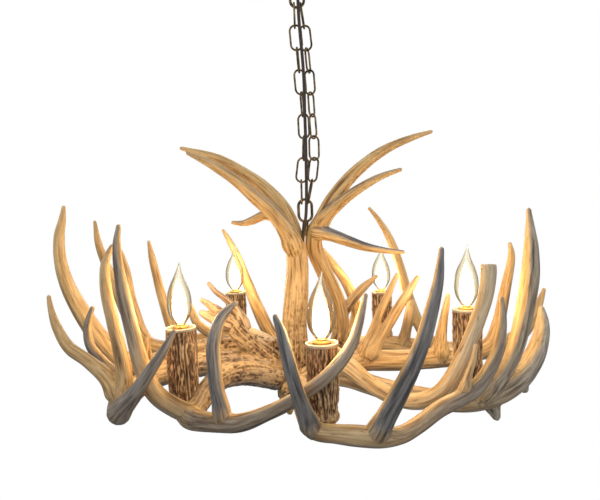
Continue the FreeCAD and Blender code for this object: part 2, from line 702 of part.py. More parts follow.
def make_socket(light):
    """Brass-flanged lampholder for a small screw bulb."""
    x, y, top, _, _, _ = LIGHTS[light]
    stem = "Sizes.socket_diameter / 2"
    bore = "Sizes.socket_bore / 2"
    deep = "Sizes.socket_depth - 1 + Sizes.cap_thickness"
    return turned(
        f"{light}_socket",
        [
            ("0", "0"),
            (stem, "0"),
            (stem, deep),
            ("Sizes.flange_diameter / 2", deep),
            ("Sizes.flange_diameter / 2", f"{deep} + Sizes.flange_thickness * 0.6"),
            ("Sizes.flange_diameter / 2 - 1", f"{deep} + Sizes.flange_thickness"),
            (bore, f"{deep} + Sizes.flange_thickness"),
            (bore, f"{deep} + Sizes.flange_thickness - Sizes.socket_bore_depth"),
            ("0", f"{deep} + Sizes.flange_thickness - Sizes.socket_bore_depth"),
        ],
        Vector(x, y, top - size("socket_depth") + 1),
    )


def bulb_foot(light):
    """Height of the bulb's contact, just clear of the lampholder's floor."""
    top = LIGHTS[light][2]
    rim = top + size("cap_thickness") + size("flange_thickness")
    return rim - size("socket_bore_depth") + GAP


def make_bulb_base(light):
    """Screw shell and contact of the bulb."""
    x, y = LIGHTS[light][:2]
    return turned(
        f"{light}_bulb_base",
        [
            ("0", "0"),
            ("Sizes.bulb_contact_diameter / 2", "0"),
            ("Sizes.bulb_contact_diameter / 2", "Sizes.bulb_contact_length"),
            ("Sizes.bulb_base_diameter / 2", "Sizes.bulb_contact_length + 2"),
            ("Sizes.bulb_base_diameter / 2", "Sizes.bulb_base_length"),
            ("0", "Sizes.bulb_base_length"),
        ],
        Vector(x, y, bulb_foot(light)),
    )


# Share of the glass radius at each share of its height: neck, belly, flame tip.
FLAME = [(0.0, 0.34), (0.07, 0.5), (0.2, 0.88), (0.32, 1.0), (0.48, 0.88), (0.65, 0.58), (0.8, 0.3), (0.92, 0.13)]


def flame_half(radius, height, lift):
    """Half outline of the flame-shaped bulb as a curve from its neck to its tip."""
    points = [Vector(radius * share, 0, lift + height * at) for at, share in FLAME]
    curve = Part.BSplineCurve()
    curve.interpolate(points + [Vector(0, 0, lift + height)])
    return curve


def flame_solid(radius, height, lift):
    """The flame shape turned about its axis."""
    curve = flame_half(radius, height, lift)
    start = curve.value(curve.FirstParameter)
    low = Vector(0, 0, start.z)
    high = curve.value(curve.LastParameter)
    outline = Part.Wire(
        [
            Part.LineSegment(low, start).toShape(),
            curve.toShape(),
            Part.LineSegment(high, low).toShape(),
        ]
    )
    return Part.Face(outline).revolve(Vector(), Vector(0, 0, 1), 360)


def make_bulb_glass(light):
    """Thin flame-shaped glass that stands on the screw shell."""
    x, y = LIGHTS[light][:2]
    wall = size("bulb_glass_wall")
    radius = size("bulb_diameter") / 2
    height = size("bulb_glass_length")
    shape = flame_solid(radius, height, 0)
    hollow = flame_solid(radius - wall, height - 2 * wall, 0)
    shape = shape.cut(hollow)
    shape.translate(Vector(x, y, bulb_foot(light) + size("bulb_base_length")))
    return feature(f"{light}_bulb_glass", largest_solid(shape))


def make_filament(light):
    """Glowing element: a stem with a loop of two legs."""
    x, y = LIGHTS[light][:2]
    radius = size("filament_diameter") / 2
    spread = size("filament_spread")
    tall = size("filament_length")
    legs = []
    for side in (-1, 1):
        start = Vector(side * spread / 4, 0, 0)
        end = Vector(side * spread, 0, tall)
        legs.append(rod_between(start, end, radius))
    top = rod_between(Vector(-spread, 0, tall), Vector(spread, 0, tall), radius)
    shape = legs[0].fuse([legs[1], top])
    shape.translate(Vector(x, y, bulb_foot(light) + size("bulb_base_length")))
    floor = Part.makeBox(60, 60, 10, Vector(x - 30, y - 30, bulb_foot(light) + size("bulb_base_length") - 10))
    return feature(f"{light}_filament", largest_solid(shape.cut(floor)))


# ---------------------------------------------------------------------------------------------
# Centre tie: eye, rod through the crown antler's beam, washer and finial
# ---------------------------------------------------------------------------------------------

EYE_CENTRE = EYE_BAR - (size("eye_length") - size("ring_wire")) / 2
EYE_FOOT = Vector(0, 0, EYE_BAR - size("eye_length") + size("ring_wire"))
CROWN_FOOT = Vector(*ANTLERS["crown_left_antler"][0][0][:3])
TIE = CROWN_FOOT - EYE_FOOT
TIE_ALONG = Vector(TIE)
TIE_ALONG.normalize()
TIE_TURN = Rotation(Vector(0, 0, -1), TIE_ALONG)
BOSS_END = EYE_FOOT + TIE_ALONG * size("eye_boss_length")


def make_eye():
    """Long ring with a threaded boss that sits in the fork of the crown antlers."""
    ring = link_shape(size("eye_length"), size("eye_width"), size("ring_wire"))
    ring.translate(Vector(0, 0, EYE_CENTRE))
    boss = rod_between(EYE_FOOT, BOSS_END, size("eye_boss_diameter") / 2)
    thread = rod_between(
        EYE_FOOT + TIE_ALONG * size("eye_boss_length") / 3,
        BOSS_END + TIE_ALONG,
        size("rod_diameter") / 2,
    )
    return feature("hanger_eye", largest_solid(ring.fuse(boss).cut(thread)))


def rod_start():
    """Upper end of the rod, inside the eye's boss."""
    return EYE_FOOT + TIE_ALONG * (size("eye_boss_length") / 3 + GAP)


def make_rod():
    """Threaded rod down the middle of the crown antler's beam."""
    end = CROWN_FOOT + TIE_ALONG * (size("washer_thickness") + size("finial_length") / 2)
    return feature("tie_rod", rod_between(rod_start(), end, size("rod_diameter") / 2))


def make_washer():
    """Wide washer under the beam's burr."""
    disc = rod_between(CROWN_FOOT, CROWN_FOOT + TIE_ALONG * size("washer_thickness"), size("washer_diameter") / 2)
    hole = rod_between(
        CROWN_FOOT - TIE_ALONG,
        CROWN_FOOT + TIE_ALONG * (size("washer_thickness") + 1),
        size("rod_diameter") / 2 + size("rod_clearance"),
    )
    return feature("base_washer", disc.cut(hole))


def make_finial():
    """Turned brass nut that closes the lower end of the rod."""
    return turned(
        "base_finial",
        [
            ("Sizes.rod_diameter / 2", "0"),
            ("Sizes.finial_diameter / 2", "0"),
            ("Sizes.finial_diameter / 2", "Sizes.finial_length * 0.35"),
            ("Sizes.finial_diameter / 2 - 3", "Sizes.finial_length * 0.45"),
            ("Sizes.finial_diameter / 2 - 1", "Sizes.finial_length * 0.7"),
            ("Sizes.finial_diameter / 4", "Sizes.finial_length"),
            ("0", "Sizes.finial_length"),
            ("0", "Sizes.finial_length / 2 + Sizes.seat_clearance"),
            ("Sizes.rod_diameter / 2", "Sizes.finial_length / 2 + Sizes.seat_clearance"),
        ],
        CROWN_FOOT + TIE_ALONG * size("washer_thickness"),
        Rotation(Vector(0, 0, 1), TIE_ALONG),
    )


# ---------------------------------------------------------------------------------------------
# Screws: each is a start under the antler's skin and an end in the piece that it holds
# ---------------------------------------------------------------------------------------------

# Antlers screwed to the crown antler's beam, with the station of the beam that the screw enters.
HUB_STATIONS = {
    "front_left_antler": 0,
    "left_antler": 0,
    "left_back_antler": 0,
    "front_antler": 0,
    "right_back_antler": 1,
    "right_antler": 0,
    "right_front_antler": 0,
    "crown_right_antler": 0,
    "back_left_antler": 0,
    "back_antler": 0,
    "back_right_antler": 0,
}
SLEEVE_BITE = 12
SLEEVE_WALL_MID = 9


def hub_screws():
    """Screws that run level from each antler's base towards the middle of the crown's beam."""
    screws = []
    for name, station in HUB_STATIONS.items():
        x, y, high, radius = ANTLERS[name][0][station]
        start = Vector(x, y, high)
        down = (high - CROWN_FOOT.z) / (EYE_FOOT.z - CROWN_FOOT.z)
        middle = CROWN_FOOT + (EYE_FOOT - CROWN_FOOT) * down
        along = middle - start
        along.normalize()
        screws.append((start - along * (radius - size("screw_sink")), middle - along * size("screw_stop")))
    return screws


def sleeve_screws():
    """One screw up through each beam into the foot of the sleeve that stands on it."""
    screws = []
    for x, y, _, foot, _, name in LIGHTS.values():
        axis = Vector(x, y, foot)
        stations = [(Vector(*point[:3]), point[3]) for point in ANTLERS[name][0]]
        start, radius = min(stations, key=lambda station: (station[0] - axis).Length)
        outward = Vector(start.x - x, start.y - y, 0)
        outward.normalize()
        end = axis + outward * SLEEVE_WALL_MID + Vector(0, 0, SLEEVE_BITE)
        along = end - start
        along.normalize()
        screws.append((start - along * (radius - size("screw_sink")), end))
    return screws


def screw_shape(start, end):
    """Round-headed wood screw, plain."""
    along = end - start
    along.normalize()
    head = rod_between(start, start + along * size("screw_head_height"), size("screw_head_diameter") / 2)
    return head.fuse(rod_between(start, end, size("screw_diameter") / 2))


def screw_room(start, end):
    """The hole that a screw and the tool that drives it need."""
    along = end - start
    along.normalize()
    fit = size("screw_fit")
    head = rod_between(
        start - along * 4 * size("screw_sink"),
        start + along * (size("screw_head_height") + fit),
        size("screw_head_diameter") / 2 + fit,
    )
    return head.fuse(rod_between(start, end + along * fit, size("screw_diameter") / 2 + fit))


# ---------------------------------------------------------------------------------------------
# Build
# ---------------------------------------------------------------------------------------------

pieces = [make_crossbar(), make_nipple(), make_locknut(), make_canopy(), make_bushing()]
pieces += [make_canopy_loop(), make_top_link()]
pieces.append(make_strand("chain_strand_left", -1, LEFT_JOINTS, LEFT_TURNS))
pieces.append(make_strand("chain_strand_right", 1, RIGHT_JOINTS, RIGHT_TURNS))
pieces.append(make_cord())
pieces += [make_eye(), make_rod(), make_washer(), make_finial()]

# Room for the tie and the cord in the crown antlers.
tie_room = rod_between(rod_start(), CROWN_FOOT + TIE_ALONG, size("rod_diameter") / 2 + size("rod_clearance"))
boss_room = rod_between(
    EYE_FOOT - TIE_ALONG * size("ring_wire"),
    BOSS_END + TIE_ALONG * GAP,
    size("eye_boss_diameter") / 2 + GAP,
)
eye_room = link_shape(size("eye_length"), size("eye_width"), size("ring_wire") + 2 * GAP)
eye_room.translate(Vector(0, 0, EYE_CENTRE))
cord_end = CORD_ROUTE[-1] - CORD_ROUTE[-2]
cord_end.normalize()
cord_room = rod_between(
    CORD_ROUTE[-2] - cord_end * size("cord_diameter"),
    CORD_ROUTE[-1] + cord_end * GAP,
    size("cord_diameter") / 2 + size("cord_hole_clearance"),
)
foot_room = rod_between(CROWN_FOOT, CROWN_FOOT + TIE_ALONG * 20, size("washer_diameter") * 1.5)
fork_rooms = [tie_room, boss_room, eye_room, cord_room, foot_room]

screws = {"antler_screws": hub_screws(), "sleeve_screws": sleeve_screws()}
drillings = []
for label, places in screws.items():
    pieces.append(feature(label, Part.makeCompound([screw_shape(*place) for place in places])))
    drillings += [screw_room(*place) for place in places]

swollen = []
for name in WHOLE_FIRST:
    shape = antler_shape(ANTLERS[name])
    rooms = fork_rooms if name.startswith("crown") else [tie_room]
    before = shape.Volume
    for room in rooms + swollen:
        if shape.BoundBox.intersect(room.BoundBox):
            shape = largest_solid(shape.cut(room))
    print("%-22s volume %7.0f, notched by %5.1f %%" % (name, shape.Volume, 100 * (1 - shape.Volume / before)))
    shape = drilled(shape)
    swollen.append(antler_shape(ANTLERS[name], GAP))
    pieces.append(feature(name, shape))

for light, values in LIGHTS.items():
    seat = swollen[WHOLE_FIRST.index(values[5])]
    pieces.append(make_sleeve(light, seat))
    pieces += [make_cap(light), make_socket(light), make_bulb_base(light)]
    pieces += [make_bulb_glass(light), make_filament(light)]

doc.recompute()

for item in doc.Objects:
    if "Invalid" in item.State or "Error" in item.State:
        raise RuntimeError(f"{item.Label} failed: {item.State}")
for piece in pieces:
    if piece.Shape.isNull() or not piece.Shape.isValid():
        raise RuntimeError(f"{piece.Label} has no valid shape")

os.makedirs("parts", exist_ok=True)
for piece in pieces:
    piece.Shape.exportStep(f"parts/{piece.Label}.step")
print(len(pieces), "pieces written")
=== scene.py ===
import math

import bpy
import numpy as np
from mathutils import Matrix, Vector


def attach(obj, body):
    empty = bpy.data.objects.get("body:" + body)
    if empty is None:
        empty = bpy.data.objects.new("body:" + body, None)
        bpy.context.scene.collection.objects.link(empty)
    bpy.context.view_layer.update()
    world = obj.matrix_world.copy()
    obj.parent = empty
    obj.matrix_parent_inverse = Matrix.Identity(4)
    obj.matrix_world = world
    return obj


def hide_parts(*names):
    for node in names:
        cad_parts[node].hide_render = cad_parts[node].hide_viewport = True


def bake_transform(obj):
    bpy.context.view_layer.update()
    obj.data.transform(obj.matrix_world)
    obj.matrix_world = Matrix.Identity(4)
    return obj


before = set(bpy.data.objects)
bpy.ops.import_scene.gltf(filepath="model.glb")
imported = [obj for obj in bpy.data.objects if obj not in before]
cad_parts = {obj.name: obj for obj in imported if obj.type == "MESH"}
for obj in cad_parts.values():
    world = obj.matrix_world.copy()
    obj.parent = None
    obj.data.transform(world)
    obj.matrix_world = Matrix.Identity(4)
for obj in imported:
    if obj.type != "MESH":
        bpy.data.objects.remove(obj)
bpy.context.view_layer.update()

# Antler chandelier, in metres, in the frame of the CAD part: origin at the ceiling, Z up.

MM = 0.001

# ---- Camera ----

# Where the camera stands, in metres. Its lens and sensor are in millimetres.
CAMERA_AT = (-0.011, -0.940, -0.400)
CAMERA_PITCH = math.radians(4.04)
CAMERA_ROLL = math.radians(2.3)
CAMERA_LENS = 34.8
CAMERA_SENSOR = 36.0
CAMERA_REACH = 50.0


def make_camera():
    """Camera at the photograph's viewpoint, slightly rolled as the photograph is."""
    data = bpy.data.cameras.new("camera")
    data.sensor_width = CAMERA_SENSOR
    data.lens = CAMERA_LENS
    data.clip_end = CAMERA_REACH
    camera = bpy.data.objects.new("camera", data)
    turn = Matrix.Rotation(math.pi / 2 - CAMERA_PITCH, 4, "X") @ Matrix.Rotation(-CAMERA_ROLL, 4, "Z")
    camera.matrix_world = Matrix.Translation(CAMERA_AT) @ turn
    bpy.context.scene.collection.objects.link(camera)
    bpy.context.scene.camera = camera


make_camera()

# ---- Node helpers ----


# The sockets of a Mix node for colours.
MIX_FACTOR, MIX_A, MIX_B, MIX_RESULT = 0, 6, 7, 2


class Nodes:
    """Short calls for building a node tree."""

    def __init__(self, tree):
        self.tree = tree

    def add(self, kind, inputs=None, **settings):
        node = self.tree.nodes.new(kind)
        for key, value in settings.items():
            setattr(node, key, value)
        for key, value in (inputs or {}).items():
            self.put(node.inputs[key], value)
        return node

    def put(self, socket, value):
        if isinstance(value, bpy.types.NodeSocket):
            self.tree.links.new(value, socket)
        else:
            socket.default_value = value

    def math(self, kind, a, b, clamp=False):
        return self.add("ShaderNodeMath", {0: a, 1: b}, operation=kind, use_clamp=clamp).outputs[0]

    def times(self, a, b, clamp=False):
        return self.math("MULTIPLY", a, b, clamp)

    def plus(self, a, b):
        return self.math("ADD", a, b)

    def mix(self, factor, a, b, blend="MIX"):
        node = self.add("ShaderNodeMix", data_type="RGBA", blend_type=blend)
        for socket, value in ((MIX_FACTOR, factor), (MIX_A, a), (MIX_B, b)):
            self.put(node.inputs[socket], value)
        return node.outputs[MIX_RESULT]

    def darker(self, colour, level):
        return self.mix(1.0, colour, grey(level), "MULTIPLY")

    def ramp(self, factor, stops):
        node = self.add("ShaderNodeValToRGB", {0: factor})
        elements = node.color_ramp.elements
        while len(elements) < len(stops):
            elements.new(0.5)
        for element, (at, colour) in zip(elements, stops):
            element.position = at
            element.color = colour
        return node.outputs[0]

    def noise(self, vector, scale, detail=3.0, rough=0.55, warp=0.0):
        inputs = {"Vector": vector, "Scale": scale, "Detail": detail, "Roughness": rough, "Distortion": warp}
        return self.add("ShaderNodeTexNoise", inputs).outputs[0]

    def attribute(self, name, output="Fac"):
        return self.add("ShaderNodeAttribute", attribute_name=name).outputs[output]

    def spread(self, value, low, high):
        inputs = {"Value": value, "From Min": low, "From Max": high}
        return self.add("ShaderNodeMapRange", inputs, clamp=True).outputs[0]

    def place(self):
        return self.add("ShaderNodeTexCoord").outputs["Object"]

    def coat(self, shader, colour, value, span, least):
        """The shader's colour, and its roughness from a value."""
        self.put(shader.inputs["Base Color"], colour)
        self.put(shader.inputs["Roughness"], self.plus(self.times(value, span), least))

    def bump(self, shader, strength, distance, height):
        node = self.add("ShaderNodeBump", {"Strength": strength, "Distance": distance, "Height": height})
        self.put(shader.inputs["Normal"], node.outputs[0])

    def show_mix(self, factor, first, second):
        """Mixes two shaders by a factor and gives the mix to the tree's output."""
        mix = self.add("ShaderNodeMixShader", {0: factor, 1: first.outputs[0], 2: second.outputs[0]})
        output = next(node for node in self.tree.nodes if node.type in ("OUTPUT_MATERIAL", "OUTPUT_WORLD"))
        self.put(output.inputs["Surface"], mix.outputs[0])


def rgb(red, green, blue):
    return (red, green, blue, 1.0)


def grey(level):
    return (level, level, level, 1.0)


def new_material(name, **shader):
    """A material with one Principled shader: returns it, its node helper and the shader node."""
    material = bpy.data.materials.new(name)
    material.use_nodes = True
    nodes = Nodes(material.node_tree)
    principled = material.node_tree.nodes["Principled BSDF"]
    for key, value in shader.items():
        principled.inputs[key.replace("_", " ")].default_value = value
    return material, nodes, principled


def new_group(name, ins, outs):
    """A shader node group with the named inputs and outputs."""
    group = bpy.data.node_groups.new(name, "ShaderNodeTree")
    for label, kind in ins:
        group.interface.new_socket(label, in_out="INPUT", socket_type=kind)
    for label, kind in outs:
        group.interface.new_socket(label, in_out="OUTPUT", socket_type=kind)
    nodes = Nodes(group)
    return group, nodes, nodes.add("NodeGroupInput"), nodes.add("NodeGroupOutput")


# ---- Materials ----


# The grain's layers: length share along the branch, scale, detail, roughness, distortion, and the span
# of the noise that becomes 0 to 1.
GRAIN_LAYERS = {
    "Streak": (0.055, 330.0, 5.0, 0.62, 0.5, 0.30, 0.72),
    "Fibre": (0.035, 900.0, 3.0, 0.60, 0.0, 0.30, 0.70),
    "Mottle": (0.4, 38.0, 4.0, 0.55, 0.6, 0.32, 0.70),
    "Pits": (0.12, 420.0, 2.0, 0.50, 0.0, 0.27, 0.36),
}


def make_grain_group():
    """Grain that runs along a branch: streaks, fine fibres, cloudy mottling and small pits."""
    outs = [(label, "NodeSocketFloat") for label in GRAIN_LAYERS]
    group, nodes, source, sink = new_group("grain", [("Vector", "NodeSocketVector")], outs)
    for label, (along, scale, detail, rough, warp, low, high) in GRAIN_LAYERS.items():
        inputs = {"Vector": source.outputs["Vector"], "Scale": (1, 1, along)}
        drawn_out = nodes.add("ShaderNodeMapping", inputs).outputs[0]
        layer = nodes.noise(drawn_out, scale, detail, rough, warp)
        nodes.put(sink.inputs[label], nodes.spread(layer, low, high))
    return group


GRAIN = make_grain_group()
# Where the dark, middle and light tone lie between groove and ridge, and the browns of the rough base.
TONE_LEVELS = (0.28, 0.50, 0.74)
ROUGH_BROWN = [(0.15, rgb(0.045, 0.018, 0.007)), (0.45, rgb(0.155, 0.076, 0.028)),
               (0.80, rgb(0.64, 0.42, 0.19))]
GROOVE_TONE, STREAK_TONE = 0.62, 0.38
# How strongly each feature covers the colour below it.
MOTTLE_MIX, FIBRE_MIX, BURR_MIX, TIP_MIX, PAINTED_SHADE_MIX = 0.35, 0.16, 0.85, 0.55, 0.9
MOTTLE_GREY, PIT_GREY = 0.55, 0.45
TIP_POLISH, ROUGH_SPAN, ROUGH_LEAST, ANTLER_SHINE = -0.8, 0.25, 0.36, 0.42
STREAK_HEIGHT, FIBRE_HEIGHT, PIT_HEIGHT, TIP_WEAR = 0.6, 0.25, 0.35, 0.9


def antler_material(name, tones, tip, outer, bark=0.0):
    """Cast antler: brown grooves, tan ridges, worn tips, and painted shade in the outer tones on faces turned
    away from the light.
    """
    material, nodes, shader = new_material(name)
    grain = nodes.add("ShaderNodeGroup", {"Vector": nodes.attribute("grain", "Vector")}, node_tree=GRAIN)
    streak, fibre, mottle, pits = (grain.outputs[label] for label in GRAIN_LAYERS)
    groove, tipness, burr, painted_shade = map(nodes.attribute, ("groove", "tipness", "burr", "painted_shade"))
    level = nodes.plus(nodes.times(groove, GROOVE_TONE), nodes.times(streak, STREAK_TONE))
    colour = nodes.ramp(level, list(zip(TONE_LEVELS, tones)))
    colour = nodes.mix(nodes.times(mottle, MOTTLE_MIX), colour, nodes.darker(colour, MOTTLE_GREY))
    colour = nodes.mix(nodes.times(fibre, FIBRE_MIX), colour, tones[-1])
    colour = nodes.mix(nodes.times(burr, BURR_MIX, True), colour, nodes.ramp(level, ROUGH_BROWN))
    colour = nodes.mix(nodes.times(tipness, TIP_MIX, True), colour, tip)
    # Painted shade: the outer tones cover the colour on faces turned away from the light.
    painted_shade_colour = nodes.ramp(level, list(zip(TONE_LEVELS, outer)))
    colour = nodes.mix(nodes.times(painted_shade, PAINTED_SHADE_MIX, True), colour, painted_shade_colour)
    colour = nodes.mix(pits, nodes.darker(colour, PIT_GREY), colour)
    roughness = nodes.spread(nodes.plus(mottle, nodes.times(tipness, TIP_POLISH)), TIP_POLISH, 1.0)
    nodes.coat(shader, colour, roughness, ROUGH_SPAN, ROUGH_LEAST)
    shader.inputs["Specular IOR Level"].default_value = ANTLER_SHINE
    height = nodes.plus(nodes.times(streak, STREAK_HEIGHT + bark), nodes.times(fibre, FIBRE_HEIGHT))
    height = nodes.plus(height, nodes.times(pits, PIT_HEIGHT))
    unworn = nodes.math("SUBTRACT", 1.0, nodes.times(tipness, TIP_WEAR))
    nodes.bump(shader, 0.75, 1.1 * MM, nodes.times(height, unworn))
    return material


TAN_TONES = (rgb(0.095, 0.040, 0.012), rgb(0.52, 0.290, 0.095), rgb(0.86, 0.58, 0.26))
BARK_TONES = (rgb(0.018, 0.007, 0.003), rgb(0.270, 0.125, 0.050), rgb(0.88, 0.62, 0.34))
# Slate, stone-grey and grey-brown tones of painted shade, laid on faces turned away from the light.
SLATE_PAINTED_SHADE_TONES = (rgb(0.018, 0.021, 0.026), rgb(0.066, 0.078, 0.096), rgb(0.205, 0.215, 0.225))
STONE_PAINTED_SHADE_TONES = (rgb(0.075, 0.060, 0.042), rgb(0.38, 0.325, 0.235), rgb(0.66, 0.58, 0.44))
BROWN_PAINTED_SHADE_TONES = (rgb(0.040, 0.034, 0.027), rgb(0.200, 0.178, 0.145), rgb(0.46, 0.42, 0.35))
# Each antler material: its tones, its worn tip, and the tones of its painted shade.
TAN = antler_material("antler_tan", TAN_TONES, rgb(0.72, 0.47, 0.21), SLATE_PAINTED_SHADE_TONES)
TAN_GREY_PAINTED_SHADE = antler_material("antler_tan_grey_painted_shade", TAN_TONES, rgb(0.72, 0.55, 0.32), STONE_PAINTED_SHADE_TONES)
TAN_BROWN_PAINTED_SHADE = antler_material("antler_tan_brown_painted_shade", TAN_TONES, rgb(0.74, 0.54, 0.30), BROWN_PAINTED_SHADE_TONES)
BARK = antler_material("antler_bark", BARK_TONES, rgb(0.60, 0.41, 0.23), STONE_PAINTED_SHADE_TONES, 0.5)


def bronze_material():
    """Antique bronze: dark brown lacquer rubbed through to brighter metal in patches."""
    material, nodes, shader = new_material("bronze", Metallic=1.0)
    place = nodes.place()
    patches = nodes.spread(nodes.noise(place, scale=90.0, detail=5.0, rough=0.65), 0.4, 0.68)
    fine = nodes.noise(place, scale=700.0)
    colour = nodes.mix(patches, rgb(0.055, 0.040, 0.026), rgb(0.40, 0.29, 0.15))
    colour = nodes.mix(nodes.times(fine, 0.3), colour, rgb(0.12, 0.085, 0.045))
    nodes.coat(shader, colour, patches, -0.14, 0.46)
    nodes.bump(shader, 0.3, 0.3 * MM, fine)
    return material


def metal_material(name, bright, dull, rough):
    """Plain metal with a faint uneven polish."""
    material, nodes, shader = new_material(name, Metallic=1.0)
    cloud = nodes.spread(nodes.noise(nodes.place(), scale=160.0, detail=4.0), 0.35, 0.7)
    nodes.coat(shader, nodes.mix(cloud, bright, dull), cloud, 0.16, rough)
    return material


def sheath_material(name, colour, rough):
    """Dark moulded plastic with a faint pebbled skin."""
    material, nodes, shader = new_material(name)
    skin = nodes.noise(nodes.place(), scale=900.0)
    lighter = rgb(*(min(1.0, part * 1.8) for part in colour[:3]))
    nodes.coat(shader, nodes.mix(skin, colour, lighter), skin, 0.2, rough)
    nodes.bump(shader, 0.2, 0.2 * MM, skin)
    return material


def cap_material():
    """Sawn face: a pale rim round a brown porous middle."""
    material, nodes, shader = new_material("sawn_face", Roughness=0.6)
    place = nodes.place()
    cloud = nodes.spread(nodes.noise(place, scale=140.0, detail=5.0, rough=0.6), 0.35, 0.7)
    pores = nodes.spread(nodes.noise(place, scale=1100.0, detail=2.0), 0.3, 0.45)
    pale = nodes.mix(cloud, rgb(0.70, 0.60, 0.43), rgb(0.55, 0.42, 0.26))
    brown = nodes.mix(cloud, rgb(0.20, 0.11, 0.05), rgb(0.11, 0.055, 0.025))
    colour = nodes.mix(nodes.attribute("rim"), brown, pale)
    nodes.put(shader.inputs["Base Color"], nodes.mix(pores, nodes.darker(colour, 0.6), colour))
    nodes.bump(shader, 0.4, 0.4 * MM, pores)
    return material


# The glass from where it faces the camera to a painted dark golden rim that stands in for the glass's edge
# reflections, and the lit heart from its foot to its tip.
CLEAR_TO_PAINTED_RIM = [(0.0, rgb(0.98, 0.95, 0.86)), (0.30, rgb(0.86, 0.80, 0.62)), (0.65, rgb(0.17, 0.14, 0.08))]
FOOT_TO_TIP = [(0.0, rgb(1.0, 0.80, 0.42)), (0.18, rgb(1.0, 0.97, 0.88)), (0.8, rgb(1.0, 0.98, 0.92)),
               (1.0, rgb(1.0, 0.88, 0.55))]


def glass_material():
    """Clear bulb glass with a painted dark golden rim, that lets the light inside it out."""
    material, nodes, shader = new_material("bulb_glass", Roughness=0.02, IOR=1.45, Transmission_Weight=1.0)
    edge = nodes.add("ShaderNodeLayerWeight", {"Blend": 0.4}).outputs["Facing"]
    # Painted rim: the glass darkens to golden brown where it turns away from the camera.
    nodes.put(shader.inputs["Base Color"], nodes.ramp(edge, CLEAR_TO_PAINTED_RIM))
    path = nodes.add("ShaderNodeLightPath")
    passing = nodes.math("MAXIMUM", path.outputs["Is Shadow Ray"], path.outputs["Is Diffuse Ray"])
    nodes.show_mix(passing, shader, nodes.add("ShaderNodeBsdfTransparent"))
    return material


def glow_material():
    """The lit heart of the bulb."""
    material, nodes, shader = new_material("lit_filament", Roughness=0.5, Emission_Strength=6.0)
    shader.inputs["Base Color"].default_value = rgb(1.0, 0.9, 0.7)
    nodes.put(shader.inputs["Emission Color"], nodes.ramp(nodes.attribute("height"), FOOT_TO_TIP))
    return material


BRONZE = bronze_material()
BRASS = metal_material("brass", rgb(0.83, 0.60, 0.22), rgb(0.62, 0.42, 0.13), 0.24)
STEEL = metal_material("zinc", rgb(0.42, 0.42, 0.42), rgb(0.24, 0.24, 0.25), 0.40)
SCREW = metal_material("screw", rgb(0.30, 0.24, 0.17), rgb(0.16, 0.12, 0.08), 0.42)
SHEATH = sheath_material("cord_sheath", rgb(0.022, 0.013, 0.008), 0.38)
BUSHING = sheath_material("bushing", rgb(0.02, 0.02, 0.02), 0.42)
SAWN = cap_material()
GLASS = glass_material()
GLOW = glow_material()

# ---- Number helpers ----


CELL_STEPS = (73856093, 19349663, 83492791)
SEED_STEP = 7919
SCRAMBLE = 1274126177


def cell_value(cells, seed):
    """A repeatable number from 0 to 1 for each whole-number cell."""
    x, y, z = (cells[..., axis] * step for axis, step in enumerate(CELL_STEPS))
    n = x ^ y ^ z ^ (seed * SEED_STEP)
    n = (n ^ (n >> 13)) & 0x7FFFFFFF
    n = (n * SCRAMBLE) & 0x7FFFFFFF
    n = n ^ (n >> 16)
    return (n & 0xFFFF) / 0xFFFF


def noise(points, seed=0):
    """Smooth value noise from 0 to 1 at each point."""
    base = np.floor(points).astype(np.int64)
    part = points - base
    part = part * part * (3 - 2 * part)
    total = np.zeros(len(points))
    for corner in np.ndindex(2, 2, 2):
        corner = np.array(corner)
        weight = np.prod(np.where(corner == 1, part, 1 - part), axis=1)
        total += weight * cell_value(base + corner, seed)
    return total


def layered(points, seed=0, layers=3):
    """Several octaves of noise, from 0 to 1."""
    total = np.zeros(len(points))
    share = 0.0
    for i in range(layers):
        total += noise(points * 2**i, seed + i) * 0.5**i
        share += 0.5**i
    return total / share


def ridged(points, seed=0, layers=2):
    """Noise with sharp crests, from 0 to 1."""
    return 1 - np.abs(2 * layered(points, seed, layers) - 1)


def smooth_step(value, low, high):
    t = np.clip((value - low) / (high - low), 0, 1)
    return t * t * (3 - 2 * t)


def through(points, step):
    """Catmull-Rom line through rows of numbers: returns rows about a step apart."""
    points = np.array(points, float)
    ends = np.vstack([2 * points[0] - points[1], points, 2 * points[-1] - points[-2]])
    rows = []
    for i in range(1, len(ends) - 2):
        p0, p1, p2, p3 = ends[i - 1 : i + 3]
        count = max(2, int(round(np.linalg.norm(p2[:3] - p1[:3]) / step)))
        for t in np.arange(count) / count:
            rows.append(0.5 * (2 * p1 + (p2 - p0) * t + (2 * p0 - 5 * p1 + 4 * p2 - p3) * t**2
                               + (3 * p1 - p0 - 3 * p2 + p3) * t**3))
    rows.append(points[-1])
    return np.array(rows)


def frames_along(line):
    """Directions along, across and beside a line, turned as little as possible."""
    along = np.gradient(line, axis=0)
    along /= np.linalg.norm(along, axis=1)[:, None]
    across = np.zeros_like(along)
    start = np.array([0, 0, 1.0]) if abs(along[0, 2]) < 0.9 else np.array([1.0, 0, 0])
    for i, direction in enumerate(along):
        start = start - direction * start.dot(direction)
        start /= np.linalg.norm(start)
        across[i] = start
    return along, across, np.cross(along, across)


def mesh_object(name, points, faces, material, smooth=True):
    """A mesh object from points and faces."""
    mesh = bpy.data.meshes.new(name)
    mesh.from_pydata([tuple(point) for point in points], [], [tuple(int(i) for i in face) for face in faces])
    mesh.validate()
    mesh.update()
    item = bpy.data.objects.new(name, mesh)
    bpy.context.scene.collection.objects.link(item)
    mesh.materials.append(material)
    if smooth:
        mesh.polygons.foreach_set("use_smooth", [True] * len(mesh.polygons))
    return item


def round_angles(sides):
    return np.linspace(0, 2 * math.pi, sides, endpoint=False)


